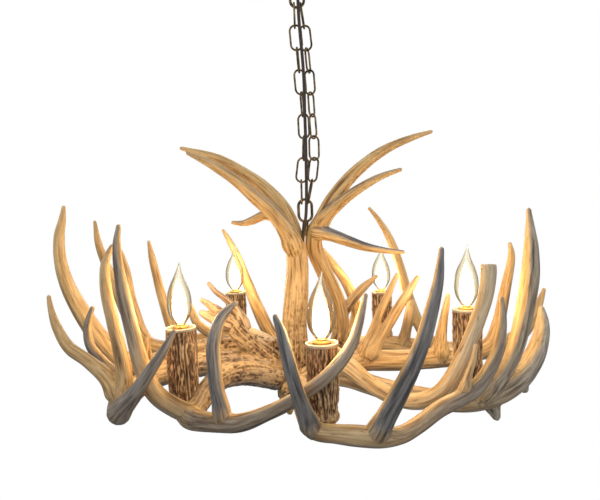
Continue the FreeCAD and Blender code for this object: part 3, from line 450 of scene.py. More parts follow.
def round_points(x, y, z, reach, angles):
    """Points round an upright axis. Height and reach are numbers, or one for each angle."""
    level = np.zeros(len(angles)) + z
    return np.stack([x + np.cos(angles) * reach, y + np.sin(angles) * reach, level], axis=1)


def ring_quads(rows, sides):
    """Quads between neighbouring rings."""
    quads = []
    for i in range(rows - 1):
        for j in range(sides):
            k = (j + 1) % sides
            quads.append((i * sides + j, i * sides + k, (i + 1) * sides + k, (i + 1) * sides + j))
    return quads


# A tube that ends thicker than this is sawn off. A thinner one ends in a point, this share of its radius out.
SAWN_RADIUS = 6 * MM
POINT_SHARE = 0.8


def tube(line, radii, sides=20):
    """A closed tube round a line, pointed at its far end, or flat where it is thick: points and faces."""
    along, across, beside = frames_along(line)
    angles = round_angles(sides)
    rings = [
        line[i] + radii[i] * (np.cos(angles)[:, None] * across[i] + np.sin(angles)[:, None] * beside[i])
        for i in range(len(line))
    ]
    point = 0.0 if radii[-1] > SAWN_RADIUS else POINT_SHARE
    points = np.vstack(rings + [line[:1], line[-1:] + along[-1:] * radii[-1] * point])
    faces = ring_quads(len(line), sides)
    low, high = len(points) - 2, len(points) - 1
    last = (len(line) - 1) * sides
    for j in range(sides):
        k = (j + 1) % sides
        faces.append((low, k, j))
        faces.append((high, last + j, last + k))
    return points, faces


def settle(item, *modifiers):
    """Applies modifiers to an object, each a kind with its settings, and leaves a plain mesh."""
    for kind, settings in modifiers:
        modifier = item.modifiers.new(kind, kind)
        for key, value in settings.items():
            setattr(modifier, key, value)
    depsgraph = bpy.context.evaluated_depsgraph_get()
    mesh = bpy.data.meshes.new_from_object(item.evaluated_get(depsgraph))
    item.modifiers.clear()
    old = item.data
    item.data = mesh
    bpy.data.meshes.remove(old)
    mesh.name = item.name
    return mesh


def vectors(items, key):
    out = np.empty(len(items) * 3)
    items.foreach_get(key, out)
    return out.reshape(-1, 3)


def write_values(mesh, name, values):
    """A number or a vector at each vertex, for the material."""
    vector = values.ndim == 2
    attribute = mesh.attributes.new(name, "FLOAT_VECTOR" if vector else "FLOAT", "POINT")
    attribute.data.foreach_set("vector" if vector else "value", values.ravel())


# ---- Antlers: the same runs of (x, y, z, radius) in millimetres as the solids ----

ANTLERS = {
    "crown_left_antler": [
        [(-36, 0, -712, 21), (-32, 0, -682, 25), (-28, 0, -634, 23), (-25, 0, -584, 19.5),
         (-19, 0, -532, 19), (-16, 0, -486, 17.5), (-20, 4, -450, 16.5), (-33, 12, -406, 13.5),
         (-60, 18, -370, 12), (-97, 24, -340, 10.5), (-145, 28, -311, 8), (-203, 30, -291, 2)],
        [(-19, -4, -469, 14), (-29, -10, -439, 13), (-50, -14, -406, 11.5), (-77, -16, -380, 10.5),
         (-112, -16, -348, 8.5), (-148, -14, -323, 6.5), (-184, -12, -304, 2)],
        [(-48, 8, -410, 7.5), (-68, 22, -408, 6.5), (-89, 30, -416, 6.5), (-106, 34, -420, 4.5),
         (-125, 36, -418, 2)],
    ],
    "crown_right_antler": [
        [(27, 30, -661, 12.5), (47, 36, -629, 13.5), (54, 36, -595, 13.5), (50, 34, -563, 13.5),
         (39, 30, -531, 13.5), (24, 26, -497, 13.5), (13, 18, -466, 14), (13, 8, -442, 14.5),
         (23, 2, -422, 12), (44, 0, -388, 12), (75, 4, -352, 10.5), (105, 8, -327, 9), (140, 12, -306, 7),
         (177, 14, -292, 5), (213, 16, -282, 2)],
        [(21, 0, -429, 11), (39, -12, -407, 10.5), (63, -18, -387, 8.5), (89, -22, -370, 7),
         (121, -25, -354, 5), (154, -26, -344, 2)],
        [(13, 4, -437, 11), (36, -14, -442, 10), (64, -24, -453, 8.5), (91, -30, -463, 6.5),
         (122, -34, -470, 4.5), (153, -36, -474, 2)],
        [(53, 36, -581, 9.5), (73, 44, -561, 8), (96, 50, -538, 6.5), (122, 54, -519, 2)],
    ],
    "front_left_antler": [
        [(-55, -22, -670, 19.5), (-97, -50, -652, 18.5), (-133, -85, -646, 17), (-152, -114, -656, 15),
         (-172, -144, -677, 13.5), (-201, -158, -659, 13), (-220, -168, -634, 12), (-231, -172, -597, 11),
         (-241, -170, -553, 9.5), (-250, -166, -508, 8.5), (-257, -160, -466, 6.5), (-259, -154, -436, 5),
         (-256, -150, -412, 2)],
        [(-185, -147, -676, 12.5), (-161, -158, -685, 12.5), (-125, -180, -682, 12.5),
         (-95, -202, -674, 11.5), (-59, -232, -652, 9.5), (-29, -256, -631, 8.5), (-11, -268, -616, 8),
         (11, -276, -598, 7.5), (31, -275, -579, 7.5), (45, -266, -562, 6.5), (54, -256, -544, 5.5),
         (61, -248, -524, 4), (67, -240, -505, 1.5)],
        [(-122, -184, -679, 10), (-125, -186, -654, 9.5), (-129, -186, -629, 9.5), (-131, -184, -601, 9.5),
         (-131, -180, -573, 9), (-123, -174, -546, 7.5), (-111, -170, -531, 5.5), (-98, -166, -521, 1.5)],
    ],
    "left_antler": [
        [(-67, -14, -655, 16), (-115, -22, -641, 17), (-170, -28, -641, 17.5), (-212, -36, -647, 17.5),
         (-245, -56, -651, 17), (-263, -92, -656, 17), (-270, -130, -661, 18), (-268, -160, -668, 17),
         (-255, -182, -654, 14), (-231, -198, -628, 10), (-207, -206, -596, 7), (-191, -204, -574, 5.5),
         (-177, -198, -550, 1.5)],
        [(-268, -158, -652, 11.5), (-282, -160, -620, 10.5), (-308, -156, -596, 8.5), (-336, -148, -578, 8),
         (-353, -142, -551, 6.5), (-362, -136, -527, 4), (-366, -132, -506, 1.5)],
        [(-266, -160, -657, 11.5), (-259, -158, -624, 10.5), (-265, -150, -587, 9.5),
         (-275, -142, -546, 8.5), (-284, -134, -506, 8), (-286, -128, -472, 6.5), (-282, -124, -454, 4.5),
         (-275, -122, -440, 2)],
        [(-270, -150, -623, 6), (-292, -140, -603, 6.5), (-312, -130, -583, 6.5), (-318, -124, -560, 5.5),
         (-315, -121, -542, 4), (-309, -119, -526, 2)],
    ],
    "left_back_antler": [
        [(-68, 16, -636, 18.5), (-125, 24, -628, 19.5), (-189, 22, -633, 20), (-242, 6, -644, 20),
         (-277, -16, -643, 18.5), (-305, -38, -623, 16.5), (-331, -52, -582, 14.5), (-353, -56, -540, 12.5),
         (-372, -52, -499, 10.5), (-382, -46, -461, 9), (-384, -38, -427, 8), (-380, -32, -401, 5.5),
         (-378, -28, -381, 2)],
        [(-261, -34, -632, 6.5), (-258, -38, -607, 4.5), (-253, -42, -584, 2)],
    ],
    "front_antler": [
        [(-23, -28, -674, 14.5), (-18, -80, -670, 15), (-14, -160, -667, 14.5), (-8, -236, -666, 13),
         (2, -258, -668, 12), (24, -268, -668, 11.5), (49, -272, -670, 12.5), (75, -270, -674, 12),
         (101, -262, -675, 10.5), (125, -248, -669, 10), (157, -228, -657, 10), (187, -210, -651, 10.5),
         (211, -198, -642, 10), (229, -188, -627, 9), (245, -178, -605, 8), (254, -172, -581, 6.5),
         (259, -166, -554, 4.5), (260, -160, -529, 1.5)],
        [(-5, -256, -667, 11.5), (-13, -276, -637, 9.5), (-21, -289, -608, 8), (-27, -290, -583, 7.5),
         (-32, -286, -560, 7), (-37, -280, -539, 5.5), (-41, -277, -528, 3.5), (-44, -275, -520, 1.5)],
        [(68, -270, -674, 11.5), (85, -280, -639, 11.5), (98, -285, -614, 11), (112, -287, -586, 10),
         (125, -290, -554, 9), (136, -282, -525, 8), (146, -274, -496, 6.5), (151, -268, -475, 5),
         (155, -262, -452, 2)],
        [(190, -208, -651, 7.5), (198, -204, -628, 5), (208, -200, -604, 4), (213, -197, -583, 1.5)],
    ],
    "right_front_antler": [
        [(18, -26, -620, 14.5), (53, -60, -641, 14), (80, -98, -658, 12), (106, -128, -669, 11.5),
         (136, -150, -673, 11.5), (163, -166, -663, 11.5), (183, -170, -643, 11), (204, -168, -606, 10),
         (222, -163, -569, 10), (238, -156, -533, 10), (246, -150, -502, 10.5), (247, -148, -486, 10.5)],
    ],
    "right_antler": [
        [(13, -22, -663, 16), (59, -45, -668, 15.5), (110, -70, -680, 15.5), (159, -92, -687, 15),
         (200, -106, -690, 16), (235, -112, -687, 18), (272, -104, -679, 19), (308, -88, -665, 18),
         (337, -68, -644, 16), (357, -50, -618, 13), (365, -40, -592, 9.5), (366, -34, -568, 3)],
        [(241, -118, -683, 14.5), (263, -122, -659, 13), (284, -118, -632, 11.5), (299, -112, -602, 12),
         (313, -104, -560, 13), (324, -96, -514, 13), (328, -92, -474, 10.5), (328, -89, -443, 6.5),
         (327, -87, -412, 2)],
        [(256, -102, -680, 16), (263, -104, -701, 10.5), (269, -106, -719, 5)],
        [(297, -92, -661, 15), (310, -90, -674, 9), (318, -90, -684, 5)],
    ],
    "right_back_antler": [
        [(-43, -30, -689, 13.5), (-10, -38, -668, 16), (29, -34, -651, 16), (81, -24, -647, 16.5),
         (145, -8, -653, 16.5), (214, 8, -656, 16), (268, 20, -655, 14.5), (304, 26, -640, 12.5),
         (319, 26, -603, 10.5), (327, 22, -559, 9), (336, 18, -512, 7), (338, 15, -488, 5.5),
         (334, 12, -468, 2)],
        [(213, 4, -655, 14), (214, 0, -622, 10), (219, -3, -589, 6.5), (224, -4, -564, 5),
         (227, -5, -546, 2)],
        [(81, -28, -638, 9.5), (97, -26, -607, 8), (115, -20, -568, 7), (131, -14, -536, 5),
         (145, -10, -509, 2)],
        [(90, -34, -640, 9.5), (117, -34, -598, 8.5), (140, -30, -564, 7.5), (159, -26, -537, 6),
         (176, -22, -513, 2)],
    ],
    "cross_antler": [
        [(-52, 0, -657, 16.5), (-80, -8, -632, 16.5), (-106, -14, -606, 14.5), (-128, -20, -579, 12),
         (-148, -26, -555, 8), (-171, -30, -536, 2)],
        [(-125, -20, -583, 10.5), (-147, -28, -571, 8.5), (-162, -32, -562, 6.5), (-172, -34, -556, 4)],
        [(-104, -10, -592, 9.5), (-116, -6, -563, 6.5), (-135, -4, -542, 5), (-150, -4, -529, 4),
         (-163, -4, -512, 2)],
    ],
    "back_left_antler": [
        [(-59, 40, -636, 14.5), (-87, 85, -635, 17), (-118, 130, -631, 17.5), (-149, 168, -634, 17.5),
         (-203, 186, -649, 16.5), (-255, 186, -661, 16.5), (-295, 174, -659, 16), (-323, 152, -633, 15),
         (-339, 134, -581, 12), (-353, 118, -525, 9.5), (-365, 108, -482, 7.5), (-373, 102, -445, 6),
         (-376, 100, -407, 2)],
        [(-316, 156, -642, 10.5), (-328, 160, -596, 9), (-338, 164, -553, 7.5), (-344, 166, -503, 5.5),
         (-353, 166, -464, 2)],
        [(-254, 184, -661, 11), (-268, 176, -619, 9), (-281, 178, -566, 8.5), (-290, 178, -522, 7.5),
         (-297, 176, -481, 6), (-301, 174, -450, 2)],
        [(-161, 172, -640, 11.5), (-189, 164, -631, 9.5), (-210, 146, -609, 8.5), (-223, 148, -577, 6.5),
         (-231, 148, -546, 2)],
    ],
    "back_antler": [
        [(-18, 30, -641, 15.5), (-10, 90, -657, 17.5), (-6, 160, -675, 18), (-6, 215, -689, 17.5),
         (24, 248, -698, 16.5), (60, 256, -686, 14.5), (88, 252, -655, 13), (101, 246, -616, 11.5),
         (84, 236, -562, 10), (57, 226, -517, 8), (33, 218, -479, 2)],
        [(-10, 205, -682, 15), (-48, 240, -684, 15.5), (-78, 252, -659, 15), (-102, 252, -605, 13),
         (-122, 248, -547, 10.5), (-140, 244, -491, 8), (-155, 241, -457, 5.5), (-166, 239, -436, 2)],
        [(-10, 205, -686, 12), (-18, 225, -656, 10), (-20, 236, -606, 8), (-18, 240, -555, 5),
         (-15, 240, -520, 2)],
    ],
    "back_right_antler": [
        [(13, 40, -645, 16), (59, 80, -654, 18.5), (105, 130, -661, 20), (146, 166, -669, 20),
         (206, 176, -680, 19.5), (271, 164, -685, 18.5), (324, 136, -679, 17), (361, 112, -663, 15.5),
         (383, 92, -637, 13), (399, 82, -609, 9.5), (410, 78, -580, 6.5), (418, 76, -556, 2)],
        [(245, 168, -683, 11.5), (214, 156, -636, 10.5), (197, 160, -590, 10), (187, 162, -551, 9),
         (175, 162, -505, 8), (159, 160, -460, 6.5), (139, 158, -425, 4.5), (122, 156, -403, 2)],
        [(176, 170, -675, 10.5), (184, 162, -652, 9.5), (190, 148, -614, 9), (197, 156, -585, 7.5)],
    ],
}

# For each antler: material, how far its rough base reaches and how deep its grooves are, in millimetres, and
# how much painted shade the outer face of each branch gets, or its upper face where the number is below 0.
LOOKS = {
    "crown_left_antler": (TAN, 230, 0.8, (0, -0.4, -0.5)),
    "crown_right_antler": (TAN, 90, 0.75, (0, -0.5, -1, 0)),
    "front_left_antler": (TAN, 240, 0.9, (0.75, 0.75, 1)),
    "left_antler": (TAN, 260, 0.9, (0.9, 0.15, 0.2, 0.9)),
    "left_back_antler": (TAN, 260, 1, (0, 0)),
    "front_antler": (TAN, 60, 0.6, (0.8, 1, 1, 0.3)),
    "right_front_antler": (TAN_GREY_PAINTED_SHADE, 30, 0.6, (0.75,)),
    "right_antler": (TAN_BROWN_PAINTED_SHADE, 60, 0.6, (1, 0.9, 1, 1)),
    "right_back_antler": (TAN, 160, 1.2, (0, 0, 0, 0)),
    "cross_antler": (BARK, 330, 1.3, (0, 0, 0)),
    "back_left_antler": (TAN, 110, 0.6, (0, 0, 0, 0)),
    "back_antler": (TAN, 60, 0.6, (0, 0, 0)),
    "back_right_antler": (TAN, 60, 0.6, (0, 0, 0)),
}
# Painted shade goes on the side of an antler that faces away from a place behind the middle of the light, and
# downwards.
PAINTED_SHADE_AWAY_FROM = np.array([0.0, 0.14, 0.0])
PAINTED_SHADE_DROP = 0.45
PAINTED_SHADE_START = 28 * MM
# How much painted shade an antler gets underneath: with painted shade on outer faces, with none there, and
# with painted shade on upper faces.
UNDER_SHADE = {1: 0.8, 0: 0.45, -1: 0.0}

VOXEL = 1.5 * MM
SMOOTHINGS = 10
SAMPLE = 1.6 * MM
BLUNT_TIP = 1.9 * MM
# Smoothing draws a branch in by about this area over its radius.
SMOOTHED_AWAY = 3.0 * MM * MM
# A tine flares by this share where it leaves the beam, and its start inside the beam stays slim.
FLARE = 0.38
FLARE_START = 9 * MM
FLARE_REACH = 1.5


def branch_lines(runs):
    """Each run as a fine line in metres with its radii: the tines flare where they leave the beam."""
    lines = []
    for i, run in enumerate(runs):
        rows = through(np.array(run) * MM, SAMPLE)
        line, radii = rows[:, :3], np.maximum(rows[:, 3], BLUNT_TIP)
        radii = radii + SMOOTHED_AWAY / radii
        travelled = np.concatenate([[0], np.cumsum(np.linalg.norm(np.diff(line, axis=0), axis=1))])
        if i:
            reach = travelled / (FLARE_REACH * runs[0][0][3] * MM)
            inside = np.exp(-((travelled / FLARE_START) ** 2))
            radii = radii * (1 + FLARE * (1 - inside) * np.exp(-(reach**2)))
        lines.append((line, radii, travelled))
    return lines


def make_antler(number, name, runs):
    """One antler: tubes merged, smoothed, then grooved along every branch."""
    material, rough_reach, depth, painted_shade_shares = LOOKS[name]
    lines = branch_lines(runs)
    points, faces = [], []
    for line, radii, _ in lines:
        base = sum(len(part) for part in points)
        some, some_faces = tube(line[::2], radii[::2])
        points.append(some)
        faces += [tuple(i + base for i in face) for face in some_faces]
    item = mesh_object(name + "_horn", np.vstack(points), faces, material)
    mesh = settle(
        item,
        ("REMESH", {"mode": "VOXEL", "voxel_size": VOXEL, "use_smooth_shade": True}),
        ("SMOOTH", {"factor": 0.5, "iterations": SMOOTHINGS}),
    )
    shape_surface(mesh, lines, number, rough_reach * MM, depth * MM, painted_shade_shares)
    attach(item, "fixture")
    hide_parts(name)


NEAREST_BLOCK = 4000


def nearest_branch(place, lines):
    """For each point: the closest branch station, by distance to that branch's skin."""
    best = np.full(len(place), np.inf)
    found = np.zeros((len(place), 2), int)
    for index, (line, radii, _) in enumerate(lines):
        for start in range(0, len(place), NEAREST_BLOCK):
            block = slice(start, start + NEAREST_BLOCK)
            gap = np.linalg.norm(place[block, None] - line[None], axis=2) - radii[None]
            station = gap.argmin(axis=1)
            value = gap[np.arange(len(station)), station]
            better = value < best[block]
            best[block] = np.where(better, value, best[block])
            found[block, 0] = np.where(better, index, found[block, 0])
            found[block, 1] = np.where(better, station, found[block, 1])
    return found


# The surface's features: how wide each is, and how much of its length is kept along the branch: 1 is round.
GROOVES, FIBRES, LUMPS, PEARLS = (5.2 * MM, 0.07), (2.2 * MM, 0.07), (26 * MM, 0.35), (4.6 * MM, 0.7)
GROOVE_SHARE, GROOVE_REST = 0.62, 0.62
PEARL_REST, PEARL_DARK, PEARL_DEPTH = 0.6, 0.72, 2.6 * MM
LUMP_DEPTH = 0.16
# A tip is worn over this length, or this share of a short branch.
WORN_LENGTH, WORN_SHARE = 0.09, 0.45
# The radius from which grooves have their full depth, and how much of it a tip loses.
GROOVED_RADIUS, TIP_SMOOTHING = 12 * MM, 0.85
# The grain is moved along by these, so that no two branches, antlers or sleeves show the same.
BRANCH_SHIFT, ANTLER_SHIFT, SLEEVE_SHIFT = 0.37, 0.71, 0.53


def drawn_out(grain, feature):
    """The places at which noise is read, so that its features get their width and run along the branch."""
    width, kept = feature
    return grain * np.array([1, 1, kept]) / width


def shape_surface(mesh, lines, seed, rough_reach, depth, painted_shade_shares):
    """Grooves, lumps and the rough base, and the values that the material reads, painted shade among them."""
    place = vectors(mesh.vertices, "co")
    normal = vectors(mesh.vertex_normals, "vector")
    found = nearest_branch(place, lines)
    grain = np.zeros_like(place)
    tipness, burr, thick, painted_shade = np.zeros((4, len(place)))
    for index, (line, radii, travelled) in enumerate(lines):
        mine = found[:, 0] == index
        at = found[mine, 1]
        along, across, beside = frames_along(line)
        offset = place[mine] - line[at]
        lead = (offset * along[at]).sum(axis=1)
        grain[mine, 0] = (offset * across[at]).sum(axis=1)
        grain[mine, 1] = (offset * beside[at]).sum(axis=1)
        grain[mine, 2] = travelled[at] + lead + BRANCH_SHIFT * index
        length = travelled[-1]
        worn = min(WORN_LENGTH, WORN_SHARE * length)
        tipness[mine] = smooth_step(travelled[at], length - worn, length)
        thick[mine] = radii[at]
        # Painted shade: each branch's share, growing towards the beam's far end, and on a tine passing from
        # half the beam's share to its own.
        if index == 0:
            burr[mine] = 1 - smooth_step(travelled[at], rough_reach * 0.35, rough_reach)
            painted_shade[mine] = painted_shade_shares[0] * (0.4 + 0.6 * smooth_step(travelled[at] / length, 0.4, 0.8))
        else:
            from_beam = smooth_step(travelled[at], 0, PAINTED_SHADE_START)
            painted_shade[mine] = painted_shade_shares[0] * 0.5 + (painted_shade_shares[index] - painted_shade_shares[0] * 0.5) * from_beam
    lumps = layered(drawn_out(grain, LUMPS), seed + 57)
    pearls = ridged(drawn_out(grain, PEARLS), seed + 83)
    groove = GROOVE_SHARE * ridged(drawn_out(grain, GROOVES), seed)
    groove += (1 - GROOVE_SHARE) * layered(drawn_out(grain, FIBRES), seed + 31)
    body = np.clip(thick / GROOVED_RADIUS, 0.2, 1.1) * (1 - TIP_SMOOTHING * tipness)
    lift = (groove - GROOVE_REST) * 2.0 * depth * body
    lift += (lumps - 0.5) * LUMP_DEPTH * thick
    lift += burr * (pearls - PEARL_REST) * PEARL_DEPTH
    mesh.vertices.foreach_set("co", (place + normal * lift[:, None]).ravel())
    mesh.update()
    # Painted shade: on faces turned away from the light and down, broken up by the lumps, on undersides, and
    # on upper faces where the share is below 0.
    outward = (place - PAINTED_SHADE_AWAY_FROM) * np.array([1, 1, 0])
    outward /= np.linalg.norm(outward, axis=1)[:, None]
    outward[:, 2] = -PAINTED_SHADE_DROP
    painted_shade_breakup = (lumps - 0.5) * 0.5
    painted_shade_facing = smooth_step((normal * outward).sum(axis=1) + painted_shade_breakup, -0.15, 0.45)
    painted_under_shade = smooth_step(-normal[:, 2], -0.1, 0.8) * UNDER_SHADE[np.sign(sum(painted_shade_shares))]
    painted_upper_shade = smooth_step(normal[:, 2] + painted_shade_breakup, 0.0, 0.7)
    write_values(mesh, "grain", grain + seed * ANTLER_SHIFT)
    write_values(mesh, "groove", np.clip(groove + burr * (pearls - PEARL_DARK), 0, 1))
    write_values(mesh, "tipness", tipness)
    write_values(mesh, "burr", burr)
    # The painted shade that the material lays on in the outer tones.
    write_values(mesh, "painted_shade", np.maximum(np.where(painted_shade < 0, -painted_shade * painted_upper_shade, painted_shade_facing * painted_shade), painted_under_shade))


for number, (name, runs) in enumerate(ANTLERS.items()):
    make_antler(number, name, runs)

# ---- Lights ----

# x, y, height of the sleeve's top and foot, radius, in millimetres.
LIGHTS = {
    "front": (11, -245, -567, -662, 19.8),
    "left": (-186, -120, -566, -684, 21.5),
    "right": (231, -95, -560, -681, 21),
    "back_left": (-139, 175, -559, -626, 19.4),
    "back_right": (143, 172, -569, -656, 18.8),
}
# How far each sleeve's foot and waist are filled out to its full width.
FULLNESS = {"front": 0.1, "left": 0.75, "right": 0.5, "back_left": 0.5, "back_right": 0.5}
# Shares of a sleeve's height and radius, from its foot up.
SLEEVE_PROFILE = [(0.0, 0.66), (0.05, 0.80), (0.11, 0.84), (0.17, 0.76), (0.3, 0.9), (0.6, 0.99),
                  (0.85, 0.98), (1.0, 0.95)]
SLEEVE_ROWS, SLEEVE_SIDES = ((120, 260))
SOCKET_HOLE = 9.4 * MM
RIDGES = 26
SWAYS, DRIFTS, CRACKS, BEADS = (14 * MM, 1), (9 * MM, 0.3), (2.6 * MM, 0.45), (5.5 * MM, 1)
SWAY_DEPTH = 3 * MM
DRIFT_RIDGES = 3.2
BARK_SHARE, BARK_REST, BARK_DEPTH = 0.55, 0.6, 3.4 * MM
# The knobby ring near the foot: its place and width as shares of the height, and its beads.
CORONET_AT, CORONET_WIDTH = 0.09, 0.06
BEAD_REST, BEAD_DEPTH = 0.45, 4.5 * MM


def make_sleeve(number, light):
    """Rough length of antler with deep upright ridges and a knobby foot."""
    x, y, top, foot, radius = (value * MM for value in LIGHTS[light])
    rows, sides = SLEEVE_ROWS, SLEEVE_SIDES
    grids = np.meshgrid(np.linspace(0, 1, rows), round_angles(sides), indexing="ij")
    at, angle = (grid.ravel() for grid in grids)
    shares = np.interp(at, *np.array(SLEEVE_PROFILE).T)
    radii = (shares + (1 - shares) * FULLNESS[light]) * radius
    up = at * (top - foot)
    grain = round_points(0, 0, up, radii, angle)
    sway = (layered(drawn_out(grain, SWAYS), number + 5) - 0.5) * SWAY_DEPTH
    swayed = grain + np.stack([sway, -sway, np.zeros_like(sway)], axis=1)
    drift = (layered(drawn_out(swayed, DRIFTS), number + 11) - 0.5) * DRIFT_RIDGES
    crest = np.abs((RIDGES * angle / (2 * math.pi) + drift) % 1.0 * 2 - 1)
    bark = 1 - (1 - crest) ** 1.5
    crack = layered(drawn_out(swayed, CRACKS), number + 23, 2)
    beads = ridged(drawn_out(grain, BEADS), number + 37)
    coronet = np.exp(-(((at - CORONET_AT) / CORONET_WIDTH) ** 2))
    groove = np.clip(BARK_SHARE * bark + crack - 0.3, 0, 1)
    lift = (groove - BARK_REST) * BARK_DEPTH * (1 - 0.5 * coronet)
    lift += coronet * (beads - BEAD_REST) * BEAD_DEPTH
    # After the outer rings come the ring at the socket and the middle of the foot.
    hole = round_points(x, y, top, SOCKET_HOLE, round_angles(sides))
    points = np.vstack([round_points(x, y, foot + up, radii + lift, angle), hole, [[x, y, foot]]])
    middle = len(points) - 1
    faces = ring_quads(rows + 1, sides) + [(middle, (j + 1) % sides, j) for j in range(sides)]
    item = mesh_object(light + "_sleeve_bark", points, faces, BARK)
    extra = len(points) - len(grain)
    write_values(item.data, "grain", np.vstack([grain + number * SLEEVE_SHIFT, np.zeros((extra, 3))]))
    tone = np.clip(groove * (1 - coronet) + coronet * beads - 0.05, 0, 1)
    worn = coronet * smooth_step(beads, 0.75, 0.95) * 0.7
    values = {"groove": (tone, 0.5), "tipness": (worn, 0.0), "burr": (0.25 + 0.35 * coronet, 0.4)}
    for label, (outside, rest) in values.items():
        write_values(item.data, label, np.append(outside, np.full(extra, rest)))
    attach(item, "fixture")
    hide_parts(light + "_sleeve")


CAP_THICK = 4.5 * MM
CAP_RIM = 3.0 * MM
CAP_SINK = 0.9 * MM
CAP_PROUD = 0.5 * MM
CAP_SIDES = 160
# The rim's unevenness: how often it changes on the way round, and how far it moves, mostly inwards.
WOBBLE_RATE, WOBBLE_REST, WOBBLE_DEPTH = 5.0, 0.75, 1.4 * MM


def make_cap(number, light):
    """Sawn ring on the sleeve: a pale uneven rim round a darker face."""
    x, y, top, _, radius = (value * MM for value in LIGHTS[light])
    outer = radius + CAP_PROUD
    high = top + CAP_THICK
    # Reach, height and paleness of each ring.
    profile = [
        (SOCKET_HOLE, top, 0), (SOCKET_HOLE, high - CAP_SINK, 0), (outer - CAP_RIM, high - CAP_SINK, 0),
        (outer - CAP_RIM * 0.8, high - CAP_SINK * 0.3, 0.7), (outer - CAP_RIM * 0.5, high, 1),
        (outer - 0.5 * MM, high, 1), (outer, high - 0.6 * MM, 1), (outer, top + 1.5 * MM, 0.7),
        (outer - 0.3 * MM, top, 0.3),
    ]
    angles = round_angles(CAP_SIDES)
    edge = round_points(0, 0, 0, 1, angles)
    wobble = (layered(edge * WOBBLE_RATE, number + 61) - WOBBLE_REST) * WOBBLE_DEPTH
    moves = [wobble if reach > SOCKET_HOLE else 0 for reach, _, _ in profile]
    rings = [round_points(x, y, z, reach + move, angles) for (reach, z, _), move in zip(profile, moves)]
    points = np.vstack(rings)
    # The quads after the last ring lead back to the first.
    quads = ring_quads(len(profile) + 1, CAP_SIDES)
    faces = [tuple(n % len(points) for n in quad[::-1]) for quad in quads]
    item = mesh_object(light + "_cap_ring", points, faces, SAWN, False)
    write_values(item.data, "rim", np.repeat([float(rim) for _, _, rim in profile], CAP_SIDES))
    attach(item, "fixture")
    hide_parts(light + "_cap")


# Shares of a flame's height and radius, from its foot up.
GLASS_SHAPE = [(0.0, 0.42), (0.05, 0.58), (0.16, 0.88), (0.3, 1.0), (0.48, 0.93), (0.63, 0.70), (0.77, 0.38),
               (0.9, 0.15), (1.0, 0.035)]
SHAPE_STEP = 0.02
GLASS_RADIUS = 17.5 * MM
GLASS_HEIGHTS = {"front": 82, "left": 89, "right": 89, "back_left": 82, "back_right": 82}
GLASS_FOOT = 9.3 * MM
GLASS_WALL = 0.8 * MM
FLAME_SIDES, GLASS_ROWS, HEART_ROWS = 48, 60, 30
# The inside of a flame ends at this share of its height.
INSIDE_END = 0.97
# The lit heart's width and height as shares of the glass, its lift, and where the light is.
HEART_WIDTH, HEART_HEIGHT, HEART_LIFT, LIGHT_AT = 0.60, 0.66, 2 * MM, 0.38
TIP_BEND = 3.2 * MM
BEND_FROM = 0.55
BULB_POWER = 0.72
BULB_COLOUR = (1.0, 0.70, 0.36)
BULB_SOFTNESS = 12 * MM


def flame_points(x, y, foot, radius, height, rows, end=1.0, bend=TIP_BEND):
    """Rings of a flame shape whose tip leans a little to one side."""
    shape = through([(at, share, 0) for at, share in GLASS_SHAPE], SHAPE_STEP)
    ats = np.linspace(0, end, rows)
    shares = np.interp(ats, shape[:, 0], shape[:, 1])
    leans = bend * np.maximum(0, (ats - BEND_FROM) / (1 - BEND_FROM)) ** 2
    angles = round_angles(FLAME_SIDES)
    rings = [
        round_points(x + lean, y, foot + height * at, radius * share, angles)
        for at, share, lean in zip(ats, shares, leans)
    ]
    return np.vstack(rings)


def ring_faces(rows, sides, flip=False, first=0):
    """Quads between neighbouring rings, with the last ring closed."""
    faces = ring_quads(rows, sides) + [tuple((rows - 1) * sides + j for j in range(sides))]
    return [tuple(first + n for n in (face[::-1] if flip else face)) for face in faces]


def make_bulb(light):
    """Clear flame bulb with a leaning tip and a glowing heart. Its screw shell is the solid."""
    x, y, top = (value * MM for value in LIGHTS[light][:3])
    foot = top + GLASS_FOOT
    height = GLASS_HEIGHTS[light] * MM
    sides, inside = FLAME_SIDES, GLASS_ROWS * FLAME_SIDES
    outer = flame_points(x, y, foot, GLASS_RADIUS, height, GLASS_ROWS)
    inner = flame_points(x, y, foot, GLASS_RADIUS - GLASS_WALL, height - GLASS_WALL, GLASS_ROWS, INSIDE_END)
    faces = ring_faces(GLASS_ROWS, sides) + ring_faces(GLASS_ROWS, sides, True, inside)
    for j in range(sides):
        k = (j + 1) % sides
        faces.append((k, j, inside + j, inside + k))
    glass = mesh_object(light + "_bulb_flame", np.vstack([outer, inner]), faces, GLASS)
    glass.visible_shadow = False
    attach(glass, light + "_bulb")
    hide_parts(light + "_bulb_glass")

    width, tall = GLASS_RADIUS * HEART_WIDTH, height * HEART_HEIGHT
    heart = flame_points(x, y, foot + HEART_LIFT, width, tall, HEART_ROWS, INSIDE_END, bend=0.0)
    faces = ring_faces(HEART_ROWS, sides) + [tuple(range(sides))[::-1]]
    glow = mesh_object(light + "_bulb_heart", heart, faces, GLOW)
    write_values(glow.data, "height", np.repeat(np.linspace(0, 1, HEART_ROWS), sides))
    glow.visible_shadow = False
    glow.visible_diffuse = False
    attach(glow, light + "_bulb")
    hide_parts(light + "_filament")
    middle = (x, y, foot + height * LIGHT_AT)
    lamp = new_lamp(light + "_bulb_light", "POINT", middle, BULB_POWER, BULB_COLOUR)
    lamp.data.shadow_soft_size = BULB_SOFTNESS


def new_lamp(name, kind, place, power, colour):
    """A lamp in the scene."""
    data = bpy.data.lights.new(name, kind)
    data.energy = power
    data.color = colour
    lamp = bpy.data.objects.new(name, data)
    lamp.location = place
    bpy.context.scene.collection.objects.link(lamp)
    return lamp


for number, light in enumerate(LIGHTS):
    make_sleeve(number, light)
    make_cap(number, light)
    make_bulb(light)

# ---- Power cord ----

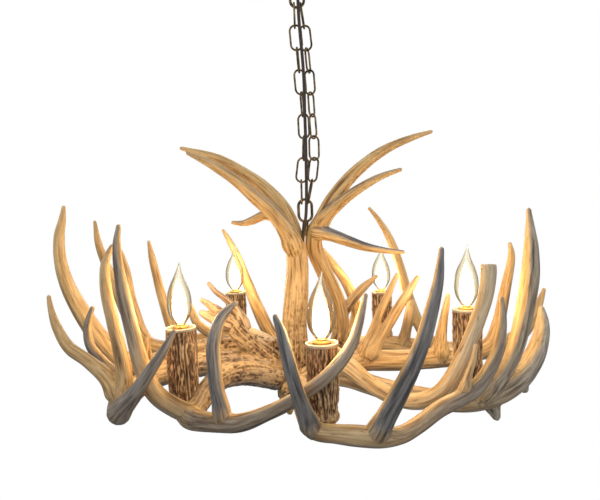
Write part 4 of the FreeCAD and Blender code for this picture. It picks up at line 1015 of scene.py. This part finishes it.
# The route's points from part.py, in millimetres.
CORD_ROUTE = [
    (2, -22, -24), (2, -22, -50), (1, -20, -82), (2, -18, -122), (5, -16.5, -166), (6, -16, -206),
    (5, -16, -246), (5, -15.5, -290), (4, -15, -335), (3, -13.5, -378), (1, -11, -412), (-4, -9, -436),
    (-8, -6, -458),
]
CORD_DIAMETER = 5 * MM
CORD_SIDES = 24


def cord_line():
    """The points of the smooth line with the route's points as its control points."""
    data = bpy.data.curves.new("cord_line", "CURVE")
    data.dimensions = "3D"
    spline = data.splines.new("NURBS")
    spline.points.add(len(CORD_ROUTE) - 1)
    for point, place in zip(spline.points, CORD_ROUTE):
        point.co = (*(value * MM for value in place), 1.0)
    spline.order_u = 3
    spline.use_endpoint_u = True
    data.resolution_u = 12
    guide = bpy.data.objects.new("cord_line", data)
    bpy.context.scene.collection.objects.link(guide)
    depsgraph = bpy.context.evaluated_depsgraph_get()
    mesh = bpy.data.meshes.new_from_object(guide.evaluated_get(depsgraph))
    line = vectors(mesh.vertices, "co")
    bpy.data.objects.remove(guide)
    bpy.data.curves.remove(data)
    bpy.data.meshes.remove(mesh)
    return line


def make_cord():
    """Round cord on one smooth line in front of the chain."""
    line = cord_line()
    points, faces = tube(line, np.full(len(line), CORD_DIAMETER / 2), CORD_SIDES)
    cord = mesh_object("cord", points, faces, SHEATH)
    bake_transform(cord)
    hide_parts("power_cord")


make_cord()

# ---- Materials of the solids that stay ----

KEPT = [
    (STEEL, ["crossbar", "nipple", "nipple_locknut", "tie_rod"]),
    (BRASS, ["base_washer", "base_finial"]),
    (BRASS, [light + part for light in LIGHTS for part in ("_socket", "_bulb_base")]),
    (BRONZE, ["canopy", "canopy_loop", "top_link", "chain_strand_left", "chain_strand_right", "hanger_eye"]),
    (BUSHING, ["cord_bushing"]),
    (SCREW, ["antler_screws", "sleeve_screws"]),
]
for material, names in KEPT:
    for name in names:
        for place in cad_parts[name].material_slots:
            place.material = material

# ---- Stage ----

FLOOR_GREY = 0.22
FLOOR_HALF, FLOOR_LEVEL = 6.0, -1.5
FILL_BELOW = 0.14
FILL_ABOVE = (0.80, 0.82, 0.84)
MIDDLE = (0.0, 0.0, -0.55)
# Place, width, power and colour of each lamp.
LAMPS = {
    "key": ((-1.2, -1.6, 0.4), 1.4, 7.0, (0.88, 0.94, 1.0)),
    "side": ((1.6, -1.0, -0.2), 1.2, 4.0, (0.95, 0.97, 1.0)),
    "back": ((0.3, 1.8, 0.3), 1.4, 12.0, (1.0, 0.94, 0.86)),
}


def seen(nodes):
    """1 for the rays of the picture, straight or through glass, and 0 for those that light the object."""
    path = nodes.add("ShaderNodeLightPath")
    return nodes.math("MAXIMUM", path.outputs["Is Camera Ray"], path.outputs["Is Transmission Ray"])


def make_stage():
    """Floor far below the light, grey to the object and plain white in the picture."""
    material, nodes, shader = new_material("floor", Roughness=0.8)
    shader.inputs["Base Color"].default_value = grey(FLOOR_GREY)
    white = nodes.add("ShaderNodeEmission", {"Color": grey(1.0), "Strength": 1.0})
    nodes.show_mix(seen(nodes), shader, white)
    half, level = FLOOR_HALF, FLOOR_LEVEL
    corners = [(-half, -half, level), (half, -half, level), (half, half, level), (-half, half, level)]
    floor = mesh_object("floor", corners, [(0, 1, 2, 3)], material, False)


def make_world():
    """White surroundings in the picture, grey fill that is lighter from above on the object."""
    world = bpy.data.worlds.new("studio")
    bpy.context.scene.world = world
    world.use_nodes = True
    nodes = Nodes(world.node_tree)
    place = nodes.add("ShaderNodeTexCoord").outputs["Generated"]
    up = nodes.add("ShaderNodeSeparateXYZ", {"Vector": place}).outputs["Z"]
    sky = nodes.ramp(nodes.spread(up, -1.0, 1.0), [(0.25, grey(FILL_BELOW)), (0.75, rgb(*FILL_ABOVE))])
    fill = nodes.add("ShaderNodeBackground", {"Color": sky, "Strength": 1.0})
    white = nodes.add("ShaderNodeBackground", {"Color": grey(1.0), "Strength": 1.0})
    nodes.show_mix(seen(nodes), fill, white)


make_stage()
make_world()
for name, (place, wide, power, colour) in LAMPS.items():
    lamp = new_lamp(name, "AREA", place, power, colour)
    lamp.data.shape = "SQUARE"
    lamp.data.size = wide
    lamp.rotation_euler = (Vector(MIDDLE) - Vector(place)).to_track_quat("-Z", "Y").to_euler()
    lamp.visible_camera = False

view = bpy.context.scene.view_settings
view.view_transform = "Standard"
view.look = "None"
view.exposure = 0.0
view.gamma = 1.0
